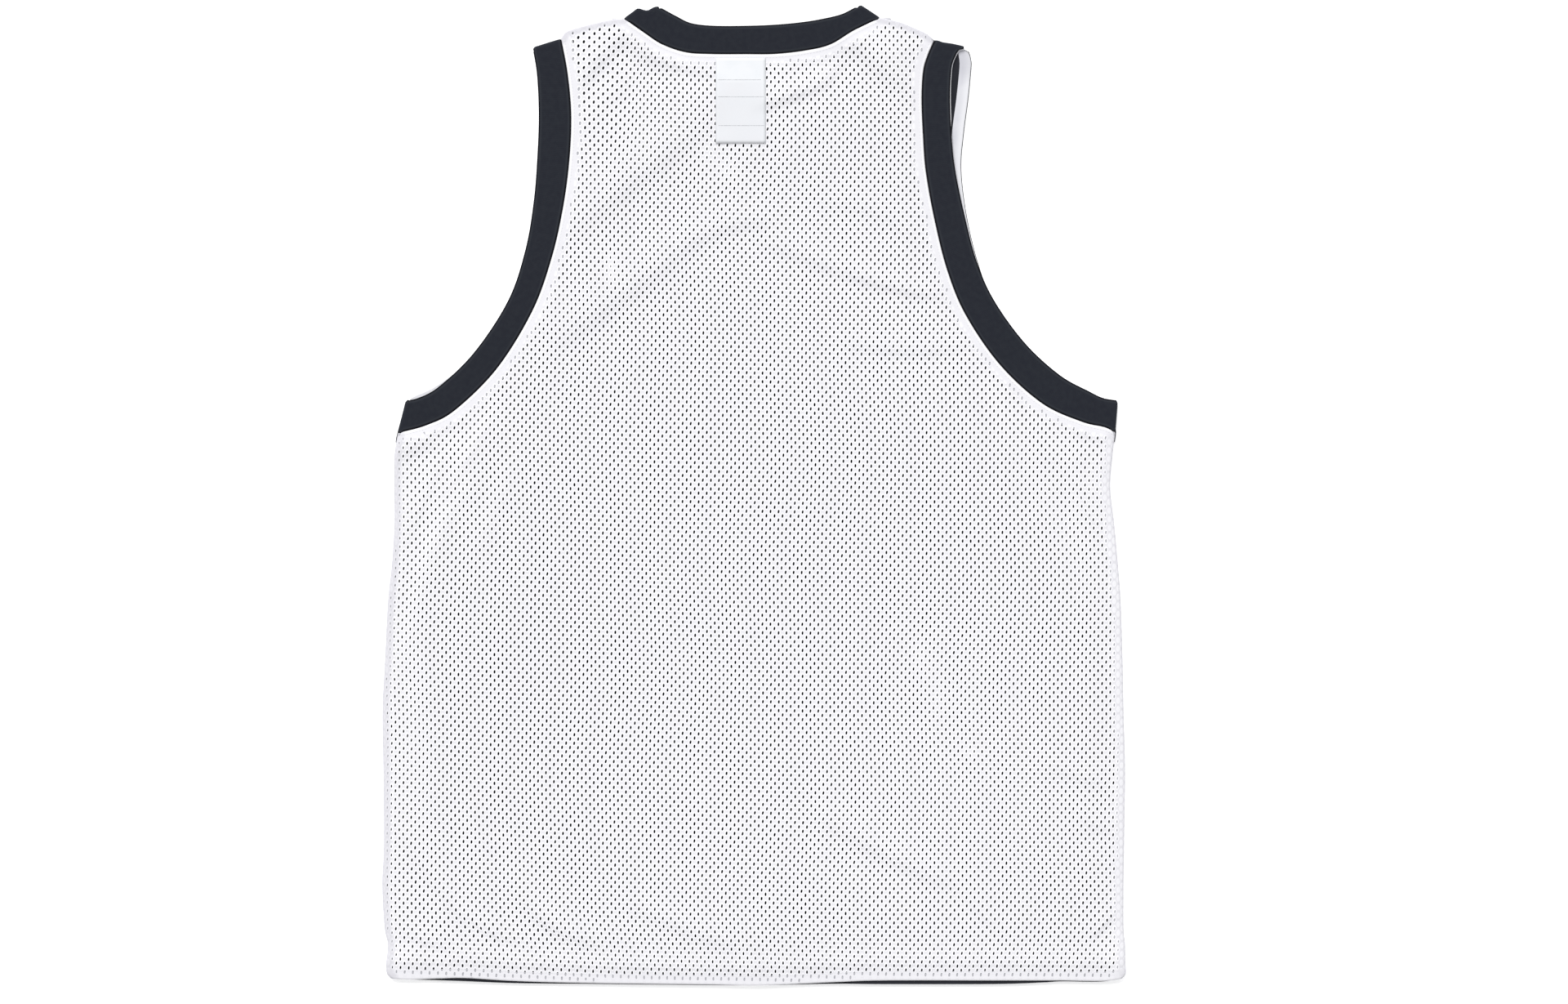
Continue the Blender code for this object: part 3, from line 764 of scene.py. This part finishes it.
# Soft ridges that run down the sides, where the cloth begins to turn under.
BACK_RIDGES = (
    # x1, y1, x2, y2, bow, rise, half_width
    (-214, 74, -258, 0, 0, 0.55, 4.5),
    (-238, 8, -281, -92, -7, 0.65, 7),
    (-279, -80, -300, -160, 0, 0.5, 7),
    (-284, -110, -279, -290, 0, 0.5, 11),
    (-200, 30, -233, -50, 0, 0.5, 7),
    (-152, 180, -220, 85, -6, 0.5, 12),
    (205, 64, 290, -110, 4, 0.35, 12),
    (265, 0, 286, -26, 0, 0.4, 5),
    (283, 32, 283, -8, 0, 0.3, 8),
    (130, -120, 158, -190, 3, 0.3, 9),
)


def broad_swell(points):
    """Slow rise and fall of the upper cloth between its seams."""
    x, y = points[:, 0], points[:, 1]
    broad = 0.35 * np.sin(x / 61 + y / 93) + 0.3 * np.sin(y / 57 - x / 130 + 1.2)
    return SWELL * (1 + 0.6 * (broad + 0.2 * np.sin(x / 34 + 2.1)))


def back_lift(points, outline):
    """Lift of the upper cloth above its resting level, with its creases."""
    gap = rim_gap(points, outline)
    folds = crease_height(points, BACK_CREASES) + ridge_height(points, BACK_RIDGES)
    return broad_swell(points) * ease(gap / SWELL_CALM) + folds * ease(gap / CREASE_CALM)


def plain_panel(outline, step):
    """Plan points and triangles of a panel with no eyelets."""
    closed = np.vstack((outline, outline[:1]))
    low, high = outline.min(axis=0), outline.max(axis=0)
    xs, ys = np.meshgrid(np.arange(low[0], high[0], step), np.arange(low[1], high[1], step * 0.87))
    xs[1::2] += step / 2
    grid = np.column_stack((xs.ravel(), ys.ravel()))
    grid = grid[is_inside(grid, outline)]
    grid = grid[distance_to(grid, closed) > step * 0.6]
    plan = np.vstack((outline, inner_lines(outline, LINING_INSETS), grid))
    faces = fill_plan(plan, ring_links(len(outline)))
    return plan, faces[is_inside(plan[faces].mean(axis=1), outline)]


def lining_look(tree):
    """Near-black jersey knit with fine upright wales and a faint bloom."""
    place = body_place(tree)
    x, y = place.axes()
    wales = (x * (2 * pi / (0.9 * MM))).math("SINE")
    courses = (y * (2 * pi / (0.7 * MM))).math("SINE")
    colour = place.noise(26.0, 3.0).between(0.3, 0.7).mix((0.015, 0.016, 0.021), (0.021, 0.022, 0.028))
    return colour, wales * 0.5 + courses * 0.25


dark_lining = make_material("dark lining", lining_look, roughness=0.85, sheen=0.08, specular=0.12,
                            depth_mm=0.08, strength=0.4)
for name, node, under in (("front_lining", "front_shell", "front_panel"),
                          ("back_lining", "back_shell", "front_lining")):
    is_front = name == "front_lining"
    outline = outline_of(panel_edges(is_front, 0.0 if is_front else 1.0, TAPE_WIDTH + 2 * SEAM_ROOM,
                                     LINING_SHY))
    plan, faces = plain_panel(outline, LINING_STEP)
    if is_front:
        heights = np.full(len(plan), FRONT_LINING_LEVEL)
    else:
        heights = BACK_LINING_LEVEL + LINING_FOLLOWS * back_lift(plan, outline)
    lining = make_cloth(name, plan, heights, faces, dark_lining, faces_up=not is_front)
    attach(lining, "root")
    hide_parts(node)

# Back panel of white mesh
# The same eyelet knit as the front, cut with a shallow neck. It is the top layer, and carries the
# garment's creases, from the broad drags between the armholes to the sharp tucks by the hem.
BACK_LEVEL = 4.75

# Sharper creases that only the upper cloth has.
FINE_CREASES = (
    # x1, y1, x2, y2, bow, depth, half_width, pull
    (-90, 364, -31, 346, -2, 1.1, 4.5, 0.4),
    (22, 350, 90, 374, 0, 0.6, 4.5, 0.3),
    (131.6, 298, 132.6, 346, 0, 0.35, 1.3, 0),
    (132.4, 342, 139.8, 375, 0, 0.35, 1.3, 0),
    (-306, 28, -262, 42, 0, 1.75, 8, 0.5),
    (-280, 41, -236, 60, 2, 0.6, 4, 0.3),
    (-288, -42, -261, 26, 0, 0.7, 4, 0.6),
    (264, 50, 294, 43, 0, 0.7, 3.5, 0.5),
    (264, 12, 283, -33, 2, 0.7, 4, 0.7),
    (243, -228, 287, -245, 0, 0.6, 5, 0.4),
    (276, -274, 297, -285, 0, 0.5, 4, 0.4),
    (-240, -353, -194, -374.5, -4, 0.3, 3, 0.7),
    (-190, -351, -148, -371, -1, 0.3, 3.6, 0.7),
    (-291, -369, -252, -381, 0, 0.7, 3.5, 0.7),
    (282, -371, 301, -350, 0, 0.9, 3.5, 0.9),
)
FINE_CALM = 6  # width along the edges in which they fade out
# Where the hem's turning ends; how wide half of the step over it is, how high, and how far it fades.
HEM_STEP = (11.6, 2.4, 0.55, 11)

back_edges = panel_edges(False)
back_outline = outline_of(back_edges)


def back_surface(points):
    """Height of the upper cloth over plan points, edges not rolled."""
    calm = ease(rim_gap(points, back_outline) / FINE_CALM)
    lift = back_lift(points, back_outline) + crease_height(points, FINE_CREASES) * calm
    inset, half, rise, fade = HEM_STEP
    from_hem = gap_to(points, back_edges, ("hem",)) - inset
    past = from_hem - half
    step = np.where(past > 0, np.exp(-(past / fade) ** 2), ease(from_hem / half / 2 + 0.5))
    return BACK_LEVEL + lift + rise * step


plan, knit, faces = cut_panel(back_edges, BACK_CREASES + FINE_CREASES, BACK_RIDGES, 23)
heights = edge_roll(plan, back_edges, BACK_LEVEL, back_surface(plan))
back_panel = make_cloth("back_panel", plan, heights, faces, mesh_knit, knit_maps(plan, knit, back_edges))
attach(back_panel, "root")
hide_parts("back_mesh")

# Seam allowances and hem turnings
# The mesh's own allowances, pressed back and overlocked along the neck, armholes and sides, and turned
# up once at the hem. They lie just under the mesh and make its outermost eyelets look pale.
ALLOWANCES = {
    # where it starts and ends inside the edge, how deep it lies under the mesh, how uneven its end is
    "left side": (2.4, 4.3, 0.35, 0.8),
    "right side": (2.4, 8.6, 0.35, 1.0),
    "shoulder": (2.4, 4.0, 0.40, 0.6),
    "arm": (0.8, 9.0, 0.30, 1.0),
    "neck": (0.8, 9.5, 0.30, 1.0),
    "hem": (0.8, 8.0, 0.35, 0.3),
}
ALLOWANCE_COLUMNS = 4


def allowance_look(tree):
    """White knit seen through the mesh, greyed by the shade it lies in."""
    grain = body_place(tree).noise(700.0, 2.0)
    return grain.between(0.3, 0.7).mix((0.40, 0.40, 0.43), (0.50, 0.50, 0.53)), grain


white_allowance = make_material("white allowance", allowance_look, roughness=0.85, sheen=0.1, specular=0.2,
                                depth_mm=0.1, strength=0.4)


def line_frame(line, middle):
    """Unit vectors along an edge, and across it towards the panel's middle."""
    along = unit(np.gradient(line, axis=0))
    inward = np.column_stack((-along[:, 1], along[:, 0]))
    return along, inward * np.sign(np.sum(inward * (middle - line)))


def make_allowances(name, edges, surface, towards):
    """One mesh of strips along the inside of a panel's edges; towards is +1 above the mesh, -1 below."""
    middle = outline_of(edges).mean(axis=0)
    plan, depths, faces = [], [], []
    for kind, line in edges:
        start, width, depth, uneven = ALLOWANCES[kind]
        inward = line_frame(line, middle)[1]
        run = np.arange(len(line)) * EDGE_STEP
        wander = uneven * (np.sin(run / 17 + width) * 0.6 + np.sin(run / 5.3 + 2 * width) * 0.4)
        for k, (place, way) in enumerate(zip(line, inward)):
            for j in range(ALLOWANCE_COLUMNS + 1):
                reach = start + (width + wander[k] - start) * j / ALLOWANCE_COLUMNS
                plan.append(place + way * reach)
                depths.append(depth)
                if k and j:
                    last = len(plan) - 1
                    faces.append((last, last - 1, last - ALLOWANCE_COLUMNS - 2, last - ALLOWANCE_COLUMNS - 1))
    plan = np.array(plan)
    heights = surface(plan) + towards * np.array(depths)
    return make_cloth(name, plan, heights, faces, white_allowance, faces_up=towards < 0)


back_allowances = make_allowances("back_allowances", back_edges, back_surface, -1)
front_allowances = make_allowances("front_allowances", front_edges, front_surface, 1)
for piece in (back_allowances, front_allowances):
    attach(piece, "root")

# Stitching
# White lockstitch through mesh and allowance, beside the neck and armhole seams and along the top of the
# hem turning. Each stitch is a short length of thread that dives into the cloth at both ends.
STITCH_PITCH = 2.6
STITCH_LENGTH = 1.9
THREAD = 0.15  # half its thickness
STITCH_INSETS = {"neck": 2.5, "arm": 2.5, "hem": 7.6}
STITCH_RINGS = (
    # share of its length from the middle, share of its thickness, height above the cloth
    (-0.5, 0.5, -0.10),
    (-0.2, 1.0, 0.12),
    (0.2, 1.0, 0.12),
    (0.5, 0.5, -0.10),
)


def make_stitches(name, edges, surface, outward, material):
    """All the stitches of one panel, as one mesh; outward is +1 on the back panel, -1 on the front."""
    points, faces = [], []
    middle = outline_of(edges).mean(axis=0)
    for kind, line in edges:
        if kind not in STITCH_INSETS:
            continue
        line = smooth_line(line, STITCH_PITCH)
        along, inward = line_frame(line, middle)
        places = line + inward * STITCH_INSETS[kind]
        level = surface(places)
        for place, way, side, height in zip(places[1:-1], along[1:-1], inward[1:-1], level[1:-1]):
            first = len(points)
            for share, thick, up in STITCH_RINGS:
                centre = place + way * STITCH_LENGTH * share
                for turn in range(4):
                    angle = radians(90 * turn)
                    spot = centre + side * THREAD * thick * cos(angle)
                    points.append((*spot, height + outward * (up + THREAD * thick * sin(angle))))
            for ring in range(first, first + 12, 4):
                faces += [(a, b, b + 4, a + 4) for a, b in ring_links(4, ring)]
            faces.append((first + 3, first + 2, first + 1, first))
            faces.append((first + 12, first + 13, first + 14, first + 15))
    return add_piece(name, points, faces, material)


def thread_look(tree):
    """White spun polyester thread, with the twist of its plies."""
    ply = put(tree, "ShaderNodeTexWave", body_place(tree), 2600.0, 1.0)
    return ply.mix((0.80, 0.80, 0.82), (0.88, 0.88, 0.90)), ply


white_thread = make_material("white thread", thread_look, roughness=0.6, sheen=0.2, specular=0.3,
                             depth_mm=0.03, strength=0.3)
back_stitches = make_stitches("back_stitches", back_edges, back_surface, 1, white_thread)
front_stitches = make_stitches("front_stitches", front_edges, front_surface, -1, white_thread)
for piece in (back_stitches, front_stitches):
    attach(piece, "root")

# Arm bands
# Each armhole is bound with one strip of doubled near-black knit, folded at its free edge and sewn to
# the body at its seam edge. It runs over the back, turns at the underarm and returns over the front.
ARM_LEVEL = 1.95  # of its middle, over or under the middle plane
ARM_HALF_WALL = 0.48
ARM_CROWN = 0.12
TURN_COLUMNS = 6  # steps in each quarter turn of a fold
ARM_STATION_STEP = 4.5
FOLD_EASE = 11.0  # stretch beside a fold in which the band's edge follows its humps
FOLD_REACH = 1.3 * MID_PLANE  # stretch beside a fold that its roll takes up
FOLD_ROOM = 0.25  # least distance of the band's flat part from the start of a fold


def sewn_edge(seam, free):
    """A half band's two lines, with its seam edge moved just clear of the panel."""
    return seam + unit(free - seam) * SEAM_ROOM, free


def fold_direction(seam, free, end, inner):
    """Unit vector that points out across a band's fold line at one end of its stations."""
    across = unit(free[end] - seam[end])
    out = np.array((-across[1], across[0]))
    return out * np.sign(np.dot(out, seam[end] - seam[inner]))


def make_band(name, back, front, level, profile, bows, material):
    """A closed band: its back half on top, its front half below, folded over at both ends.

    Each half is a pair of lines, seam edge first. The profile is the band's section, a loop of
    share across and height. The bows are how far each fold line swings out, over the share across.
    Stations as near to a fold as its own roll are left out, and the next ones are kept clear of it.
    """
    outs = fold_direction(*back, 0, 1), fold_direction(*back, -1, -2)
    halves = []
    for seam, free in (back, front):
        seam, free = seam.copy(), free.copy()
        for end, out in ((0, outs[0]), (-1, outs[1])):
            seam[end] = back[0][end] - out * MID_PLANE
            free[end] = back[1][end] - out * MID_PLANE
        halves.append((seam, free))
    turn = [pi * k / (2 * TURN_COLUMNS) for k in range(1, 2 * TURN_COLUMNS)]
    stations = []
    for half, angle in ((0, 0.0), (1, pi)):
        seam, free = halves[half]
        middle = (seam + free) / 2
        order = range(len(seam)) if half == 0 else range(len(seam) - 1, -1, -1)
        for k in order:
            gaps = [np.linalg.norm(middle[k] - middle[end]) for end in (0, -1)]
            end = int(gaps[1] < gaps[0])
            inside = max((edge[-end] - line[k]) @ outs[end] for edge, line in zip(back, (seam, free)))
            if 0 < k < len(seam) - 1 and inside < FOLD_REACH:
                continue
            stations.append((seam[k], free[k], end, angle, ease(1 - gaps[end] / FOLD_EASE)))
        end = 1 - half
        corner = halves[0][0][-end], halves[0][1][-end]
        stations += [(*corner, end, angle + more, 1.0) for more in turn]
    shares = np.array([share for share, _ in profile])
    rises = np.array([rise for _, rise in profile])
    points, uv, widths = [], [], []
    run = 0.0
    before = None
    for seam, free, end, angle, nearness in stations:
        radius = level + rises
        bow = np.interp(shares, *zip(*bows[end]))
        swing = bow * nearness + radius * abs(sin(angle))
        flat = seam + (free - seam) * shares[:, None] + outs[end] * swing[:, None]
        if nearness < 1:
            corner, reach = halves[0][0][-end], halves[0][1][-end] - halves[0][0][-end]
            place = (flat - corner) @ reach / (reach @ reach)
            room = (corner - flat) @ outs[end] + np.interp(place, *zip(*bows[end]))
            flat -= outs[end] * np.clip(FOLD_ROOM - room, 0, None)[:, None]
        points.append(np.column_stack((flat, MID_PLANE + radius * cos(angle))))
        middle = points[-1][len(shares) // 4]
        run += 0.0 if before is None else float(np.linalg.norm(middle - before))
        before = middle
        width = np.linalg.norm(free - seam)
        uv.append(np.column_stack((np.full(len(shares), run / 10), shares * width / 10)))
        widths.append(width / 10)
    ring = len(shares)
    count = len(stations)
    faces, corner_uv, corner_width = [], [], []
    seam_row = uv[0].copy()
    seam_row[:, 0] = (run + 2.0) / 10
    uv.append(seam_row)
    widths.append(widths[0])
    for j in range(count):
        for i, after in ring_links(ring):
            corners = ((j, i), (j, after), (j + 1, after), (j + 1, i))
            faces.append([row % count * ring + column for row, column in corners])
            corner_uv += [uv[row][column] for row, column in corners]
            corner_width += [(widths[row], 0.0) for row, _ in corners]
    piece = add_piece(name, np.vstack(points), faces, material, {"cloth": corner_uv, "width": corner_width})
    return piece, run


def band_profile(half_wall, crown):
    """Section of a doubled band: a rolled free edge, a pinched seam edge, a faint crown."""
    over = [(0.0, -0.35 * half_wall), (0.006, 0.25 * half_wall), (0.03, 0.75 * half_wall)]
    over += [(share, half_wall + crown * sin(pi * share) ** 0.5) for share in np.linspace(0.08, 0.92, 13)]
    over += [(0.97, 0.8 * half_wall), (0.993, 0.4 * half_wall)]
    under = [(1.0, 0.0), (0.993, -0.5 * half_wall)]
    under += [(share, -half_wall) for share in np.linspace(0.96, 0.04, 9)]
    return over + under + [(0.006, -0.7 * half_wall)]


def ribbed(axis, pitch):
    """Even ribs across one axis of a band's map, which is in centimetres; the pitch is in millimetres."""
    return (axis * (pi * 10 / pitch)).math("SINE").math("ABSOLUTE")


def band_look(tree):
    """Near-black rib knit: fine ribs across the band, painted shade on its rolled edges with a painted
    highlight line just inside them, a faint bloom.
    """
    place = map_place(tree, "cloth")
    along, across = place.axes()
    width = map_place(tree, "width").axes()[0]
    to_edge = across.math("MINIMUM", width - across)
    # Painted highlight: a slightly lighter line just inside each edge of the band.
    rim = to_edge.between(0.12, 0.16) - to_edge.between(0.20, 0.34)
    colour = place.noise(2.2, 3.0).between(0.3, 0.7)
    colour = colour.mix((0.0145, 0.0165, 0.0235), (0.0175, 0.0200, 0.0268))
    colour = rim.mix(colour, (0.024, 0.027, 0.034))
    # Painted shade: near black along both rolled edges.
    colour = to_edge.between(0.13, 0.07).mix(colour, (0.004, 0.004, 0.006))
    return colour, ribbed(along, 1.1) + ribbed(across, 0.8) * 0.3


band_knit = make_material("band rib knit", band_look, roughness=0.85, sheen=0.03, specular=0.12,
                          depth_mm=0.12, strength=0.45)
# How far a band's fold stands out, over the share across it.
FLAT_FOLD = ((0, -0.2), (0.04, 0), (0.92, 0), (1, -1))
RIGHT_SHOULDER_FOLD = ((0, -0.2), (0.04, 0), (0.15, 0), (0.30, -0.6), (0.45, -0.3), (0.6, 0), (1, 0))
NECK_LEFT_FOLD = (
    (0.0, 0.8), (0.03, 0.5), (0.15, 1.5), (0.275, 2.6), (0.38, 3.8), (0.43, 4.1), (0.48, 3.8), (0.545, 2.25),
    (0.60, 0.85), (0.655, -0.1), (0.70, -0.3), (0.74, -0.15), (0.825, 0.55), (0.89, 0.65), (0.945, 0.45),
    (1.0, 0.5),
)
for side, rows, shoulder_fold in (("left", ARM_ROWS_LEFT, FLAT_FOLD),
                                  ("right", ARM_ROWS_RIGHT, RIGHT_SHOULDER_FOLD)):
    halves = [sewn_edge(*arm_lines(rows, is_front, ARM_STATION_STEP)) for is_front in (False, True)]
    profile = band_profile(ARM_HALF_WALL, ARM_CROWN)
    band, length = make_band("arm_band_" + side + "_knit", *halves, ARM_LEVEL, profile,
                             (shoulder_fold, FLAT_FOLD), band_knit)
    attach(band, "root")
    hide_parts("arm_band_" + side)
    length * MM

# White tape
# A woven white tape, 10 mm wide, covers the reverse of each arm band along its free edge. It shows as
# the white ribbon across the armhole at the right, and as a sliver by the left underarm.
TAPE_LEVEL = 0.65
TAPE_PEEP = 0.75  # how far it slips out past the right band at the shoulder
TAPE_TUCK = 0.4  # how far it stays inside the band elsewhere
TAPE_SLIP = (300, 14)  # how far up the slip begins, and over what stretch it grows
TAPE_CLEAR = 0.45  # how much narrower it is made, to stay clear of the lining
FRONT_TAPE_REACH = {"left": 0.35, "right": -0.55}  # how far it reaches past the front half's free edge


def tape_look(tree):
    """White woven tape, ribbed, painted grey for the shade it lies in: lighter towards its outer edge, with a
    painted shadow where it turns at the shoulder.
    """
    place = map_place(tree, "cloth")
    along, across = place.axes()
    selvedge = (across - 0.5).math("ABSOLUTE").between(0.30, 0.42)
    shoulder_shadow = body_place(tree).axes()[1].between(0.338, 0.356) * 0.30
    # Painted shade: the white tape is mixed well below white, lightening towards its outer edge.
    colour = place.noise(0.9, 2.0).between(0.3, 0.7).mix((0.61, 0.61, 0.652), (0.65, 0.65, 0.685))
    colour = across.between(0.25, 0.9).mix(colour, (0.735, 0.735, 0.762))
    # Painted shadow where the tape turns under the shoulder.
    colour = shoulder_shadow.mix(colour, (0.33, 0.33, 0.38))
    return colour, selvedge + ribbed(along, 0.7) * 0.3


def tape_profile():
    """Section of the tape: flat, with slightly thicker selvedges."""
    over = [(0.01, 0.3), (0.06, 0.42), (0.14, 0.34), (0.5, 0.32), (0.86, 0.34), (0.94, 0.42), (0.99, 0.3)]
    under = [(share, -rise) for share, rise in over[::-1]]
    return [(0.0, 0.0)] + over + [(1.0, 0.0)] + under


white_tape = make_material("white tape", tape_look, roughness=0.6, sheen=0.1, specular=0.3,
                           depth_mm=0.15, strength=0.5)
for side, rows in (("left", ARM_ROWS_LEFT), ("right", ARM_ROWS_RIGHT)):
    halves = []
    for is_front in (False, True):
        seam, free = arm_lines(rows, is_front, ARM_STATION_STEP)
        across = unit(free - seam)
        if is_front:
            edge = free + across * FRONT_TAPE_REACH[side]
        else:
            slip = ease((free[:, 1:] - TAPE_SLIP[0]) / TAPE_SLIP[1]) * (side == "right")
            edge = free + across * (TAPE_PEEP * slip - TAPE_TUCK * (1 - slip))
        halves.append((edge - across * (TAPE_WIDTH - TAPE_CLEAR), edge))
    tape, length = make_band("arm_tape_" + side, *halves, TAPE_LEVEL, tape_profile(),
                             (FLAT_FOLD, FLAT_FOLD), white_tape)
    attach(tape, "root")
    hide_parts("arm_facing_" + side)
    length * MM

# Neck band
# The same near-black knit, doubled and about twice as thick, in one ring: shallow over the back and deep
# over the front. At the left shoulder its fold stands out in two small humps.
NECK_LEVEL = 1.3
NECK_HALF_WALL = 1.1
NECK_CROWN = 0.1
NECK_STATION_STEP = 3.5

halves = [sewn_edge(*neck_lines(is_front, NECK_STATION_STEP)) for is_front in (False, True)]
profile = band_profile(NECK_HALF_WALL, NECK_CROWN)
neck_band, length = make_band("neck_band_knit", *halves, NECK_LEVEL, profile,
                              (NECK_LEFT_FOLD, FLAT_FOLD), band_knit)
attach(neck_band, "root")
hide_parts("neck_band")
length * MM

# Label
# A white satin label caught in the neck's stitching along its top edge. It lies loose on the mesh, with
# its lower end a little lifted, and is blank but for three thin grey rules.
LABEL_CENTRE = (-11.6, 327.7)
LABEL_WIDTH = 41.6
LABEL_LENGTH = 71.4
LABEL_CELLS = (16, 28)
LABEL_WALL = 0.22
LABEL_LIFT = 0.42  # of its face above the mesh
LABEL_CURL = 0.5  # rise of its lower end
LABEL_RIPPLE = 0.12
RULES = (
    # y, left_x, right_x
    (344.8, -30.6, 5.4),
    (330.6, -30.6, 8.0),
    (306.7, -30.2, 8.0),
)
RULE_HEIGHT = 0.5
RULE_STEP = 2.5  # length of the stretches that follow the label's face
INK_LIFT = 0.03


def label_surface(points):
    """Height of the label's face over plan points."""
    across = (points[:, 0] - LABEL_CENTRE[0]) / (LABEL_WIDTH / 2)
    down = (LABEL_CENTRE[1] + LABEL_LENGTH / 2 - points[:, 1]) / LABEL_LENGTH
    curl = LABEL_CURL * ease((down - 0.8) / 0.2) * (0.4 + 0.6 * across ** 2)
    return back_surface(points) + LABEL_LIFT + curl + LABEL_RIPPLE * np.sin(down * 9 + across)


def satin_look(tree):
    """Bluish white satin with fine upright threads, shaded below the right end of its top rule."""
    place = body_place(tree)
    x, y = place.axes()
    threads = (x * (2 * pi / (0.3 * MM))).math("SINE")
    patch = place.noise(60.0, 2.0)
    colour = patch.between(0.35, 0.65).mix((0.735, 0.752, 0.778), (0.76, 0.772, 0.793))
    top_rule = RULES[0][0]
    shaded = y.between(top_rule * MM, (top_rule - 3) * MM) * x.between(8.5 * MM, 4.5 * MM)
    colour = (shaded * (patch * 0.8 + 0.2)).mix(colour, (0.695, 0.70, 0.727))
    return colour, threads


def ink_look(tree):
    """Grey printing ink, a little uneven."""
    patch = body_place(tree).noise(900.0, 2.0).between(0.3, 0.7)
    return patch.mix((0.42, 0.43, 0.45), (0.60, 0.61, 0.63)), None


columns, rows = LABEL_CELLS
label_xs = LABEL_CENTRE[0] + LABEL_WIDTH * (np.linspace(0, 1, columns + 1) - 0.5)
label_ys = LABEL_CENTRE[1] + LABEL_LENGTH * (np.linspace(0, 1, rows + 1) - 0.5)
grid_x, grid_y = np.meshgrid(label_xs, label_ys)
label_plan = np.column_stack((grid_x.ravel(), grid_y.ravel()))
corners = [j * (columns + 1) + i for j in range(rows) for i in range(columns)]
label_faces = [(a, a + 1, a + columns + 2, a + columns + 1) for a in corners]
satin = make_material("label satin", satin_look, roughness=0.45, sheen=0.05, specular=0.3,
                      depth_mm=0.03, strength=0.25)
label = make_cloth("label_satin", label_plan, label_surface(label_plan), label_faces, satin)
wall = label.modifiers.new("satin wall", "SOLIDIFY")
wall.thickness = LABEL_WALL * MM
wall.offset = -1.0

rule_plan, rule_faces = [], []
for y, left, right in RULES:
    first = len(rule_plan)
    for x in np.linspace(left, right, int((right - left) / RULE_STEP) + 1):
        rule_plan += [(x, y - RULE_HEIGHT / 2), (x, y + RULE_HEIGHT / 2)]
    rule_faces += [(k, k + 2, k + 3, k + 1) for k in range(first, len(rule_plan) - 2, 2)]
rule_plan = np.array(rule_plan)
grey_ink = make_material("label ink", ink_look, roughness=0.6, sheen=0.0, specular=0.2)
ink = make_cloth("label_rules", rule_plan, label_surface(rule_plan) + INK_LIFT, rule_faces, grey_ink)
for piece in (label, ink):
    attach(piece, "root")
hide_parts("label")

# Floor, light and camera
# A plain white table, softly lit from below, with even light from all round and a broad lamp beyond the
# neck. The camera looks straight down through a long lens.
VIEW_CENTRE = (24.5, -6.5)
VIEW_WIDTH = 1305.6
LENS = 120.0
SENSOR = 36.0

bpy.ops.mesh.primitive_grid_add(x_subdivisions=4, y_subdivisions=4, size=8.0, location=(0, 0, -0.0002))
floor = bpy.context.active_object
floor.name = "floor"


def table_look(tree):
    """Matt white paint, faintly clouded."""
    return body_place(tree).noise(1.5, 2.0).mix((0.93, 0.93, 0.93), (0.95, 0.95, 0.95)), None


floor_paint = make_material("white table", table_look, roughness=0.9, sheen=0.0, specular=0.1)
shader = floor_paint.node_tree.nodes["Principled BSDF"]
shader.inputs["Emission Color"].default_value = (1.0, 1.0, 1.0, 1.0)
shader.inputs["Emission Strength"].default_value = 0.35
floor.data.materials.append(floor_paint)

world = bpy.data.worlds.new("studio")
bpy.context.scene.world = world
world.use_nodes = True
sky = world.node_tree.nodes["Background"]
sky.inputs["Color"].default_value = (0.985, 0.99, 1.0, 1.0)
sky.inputs["Strength"].default_value = 0.69

lamp_data = bpy.data.lights.new("broad lamp", "SUN")
lamp_data.angle = radians(28)
lamp_data.energy = 2.62
lamp = bpy.data.objects.new("broad lamp", lamp_data)
lamp.location = (-0.5, 1.5, 1.35)
lamp.rotation_mode = "QUATERNION"
lamp.rotation_quaternion = (-lamp.location).to_track_quat("-Z", "Y")
bpy.context.scene.collection.objects.link(lamp)

camera_data = bpy.data.cameras.new("camera")
camera_data.lens = LENS
camera_data.sensor_width = SENSOR
camera = bpy.data.objects.new("camera", camera_data)
camera.location = Vector((*VIEW_CENTRE, BACK_LEVEL + VIEW_WIDTH * LENS / SENSOR)) * MM
bpy.context.scene.collection.objects.link(camera)
bpy.context.scene.camera = camera
bpy.context.scene.view_settings.view_transform = "Standard"
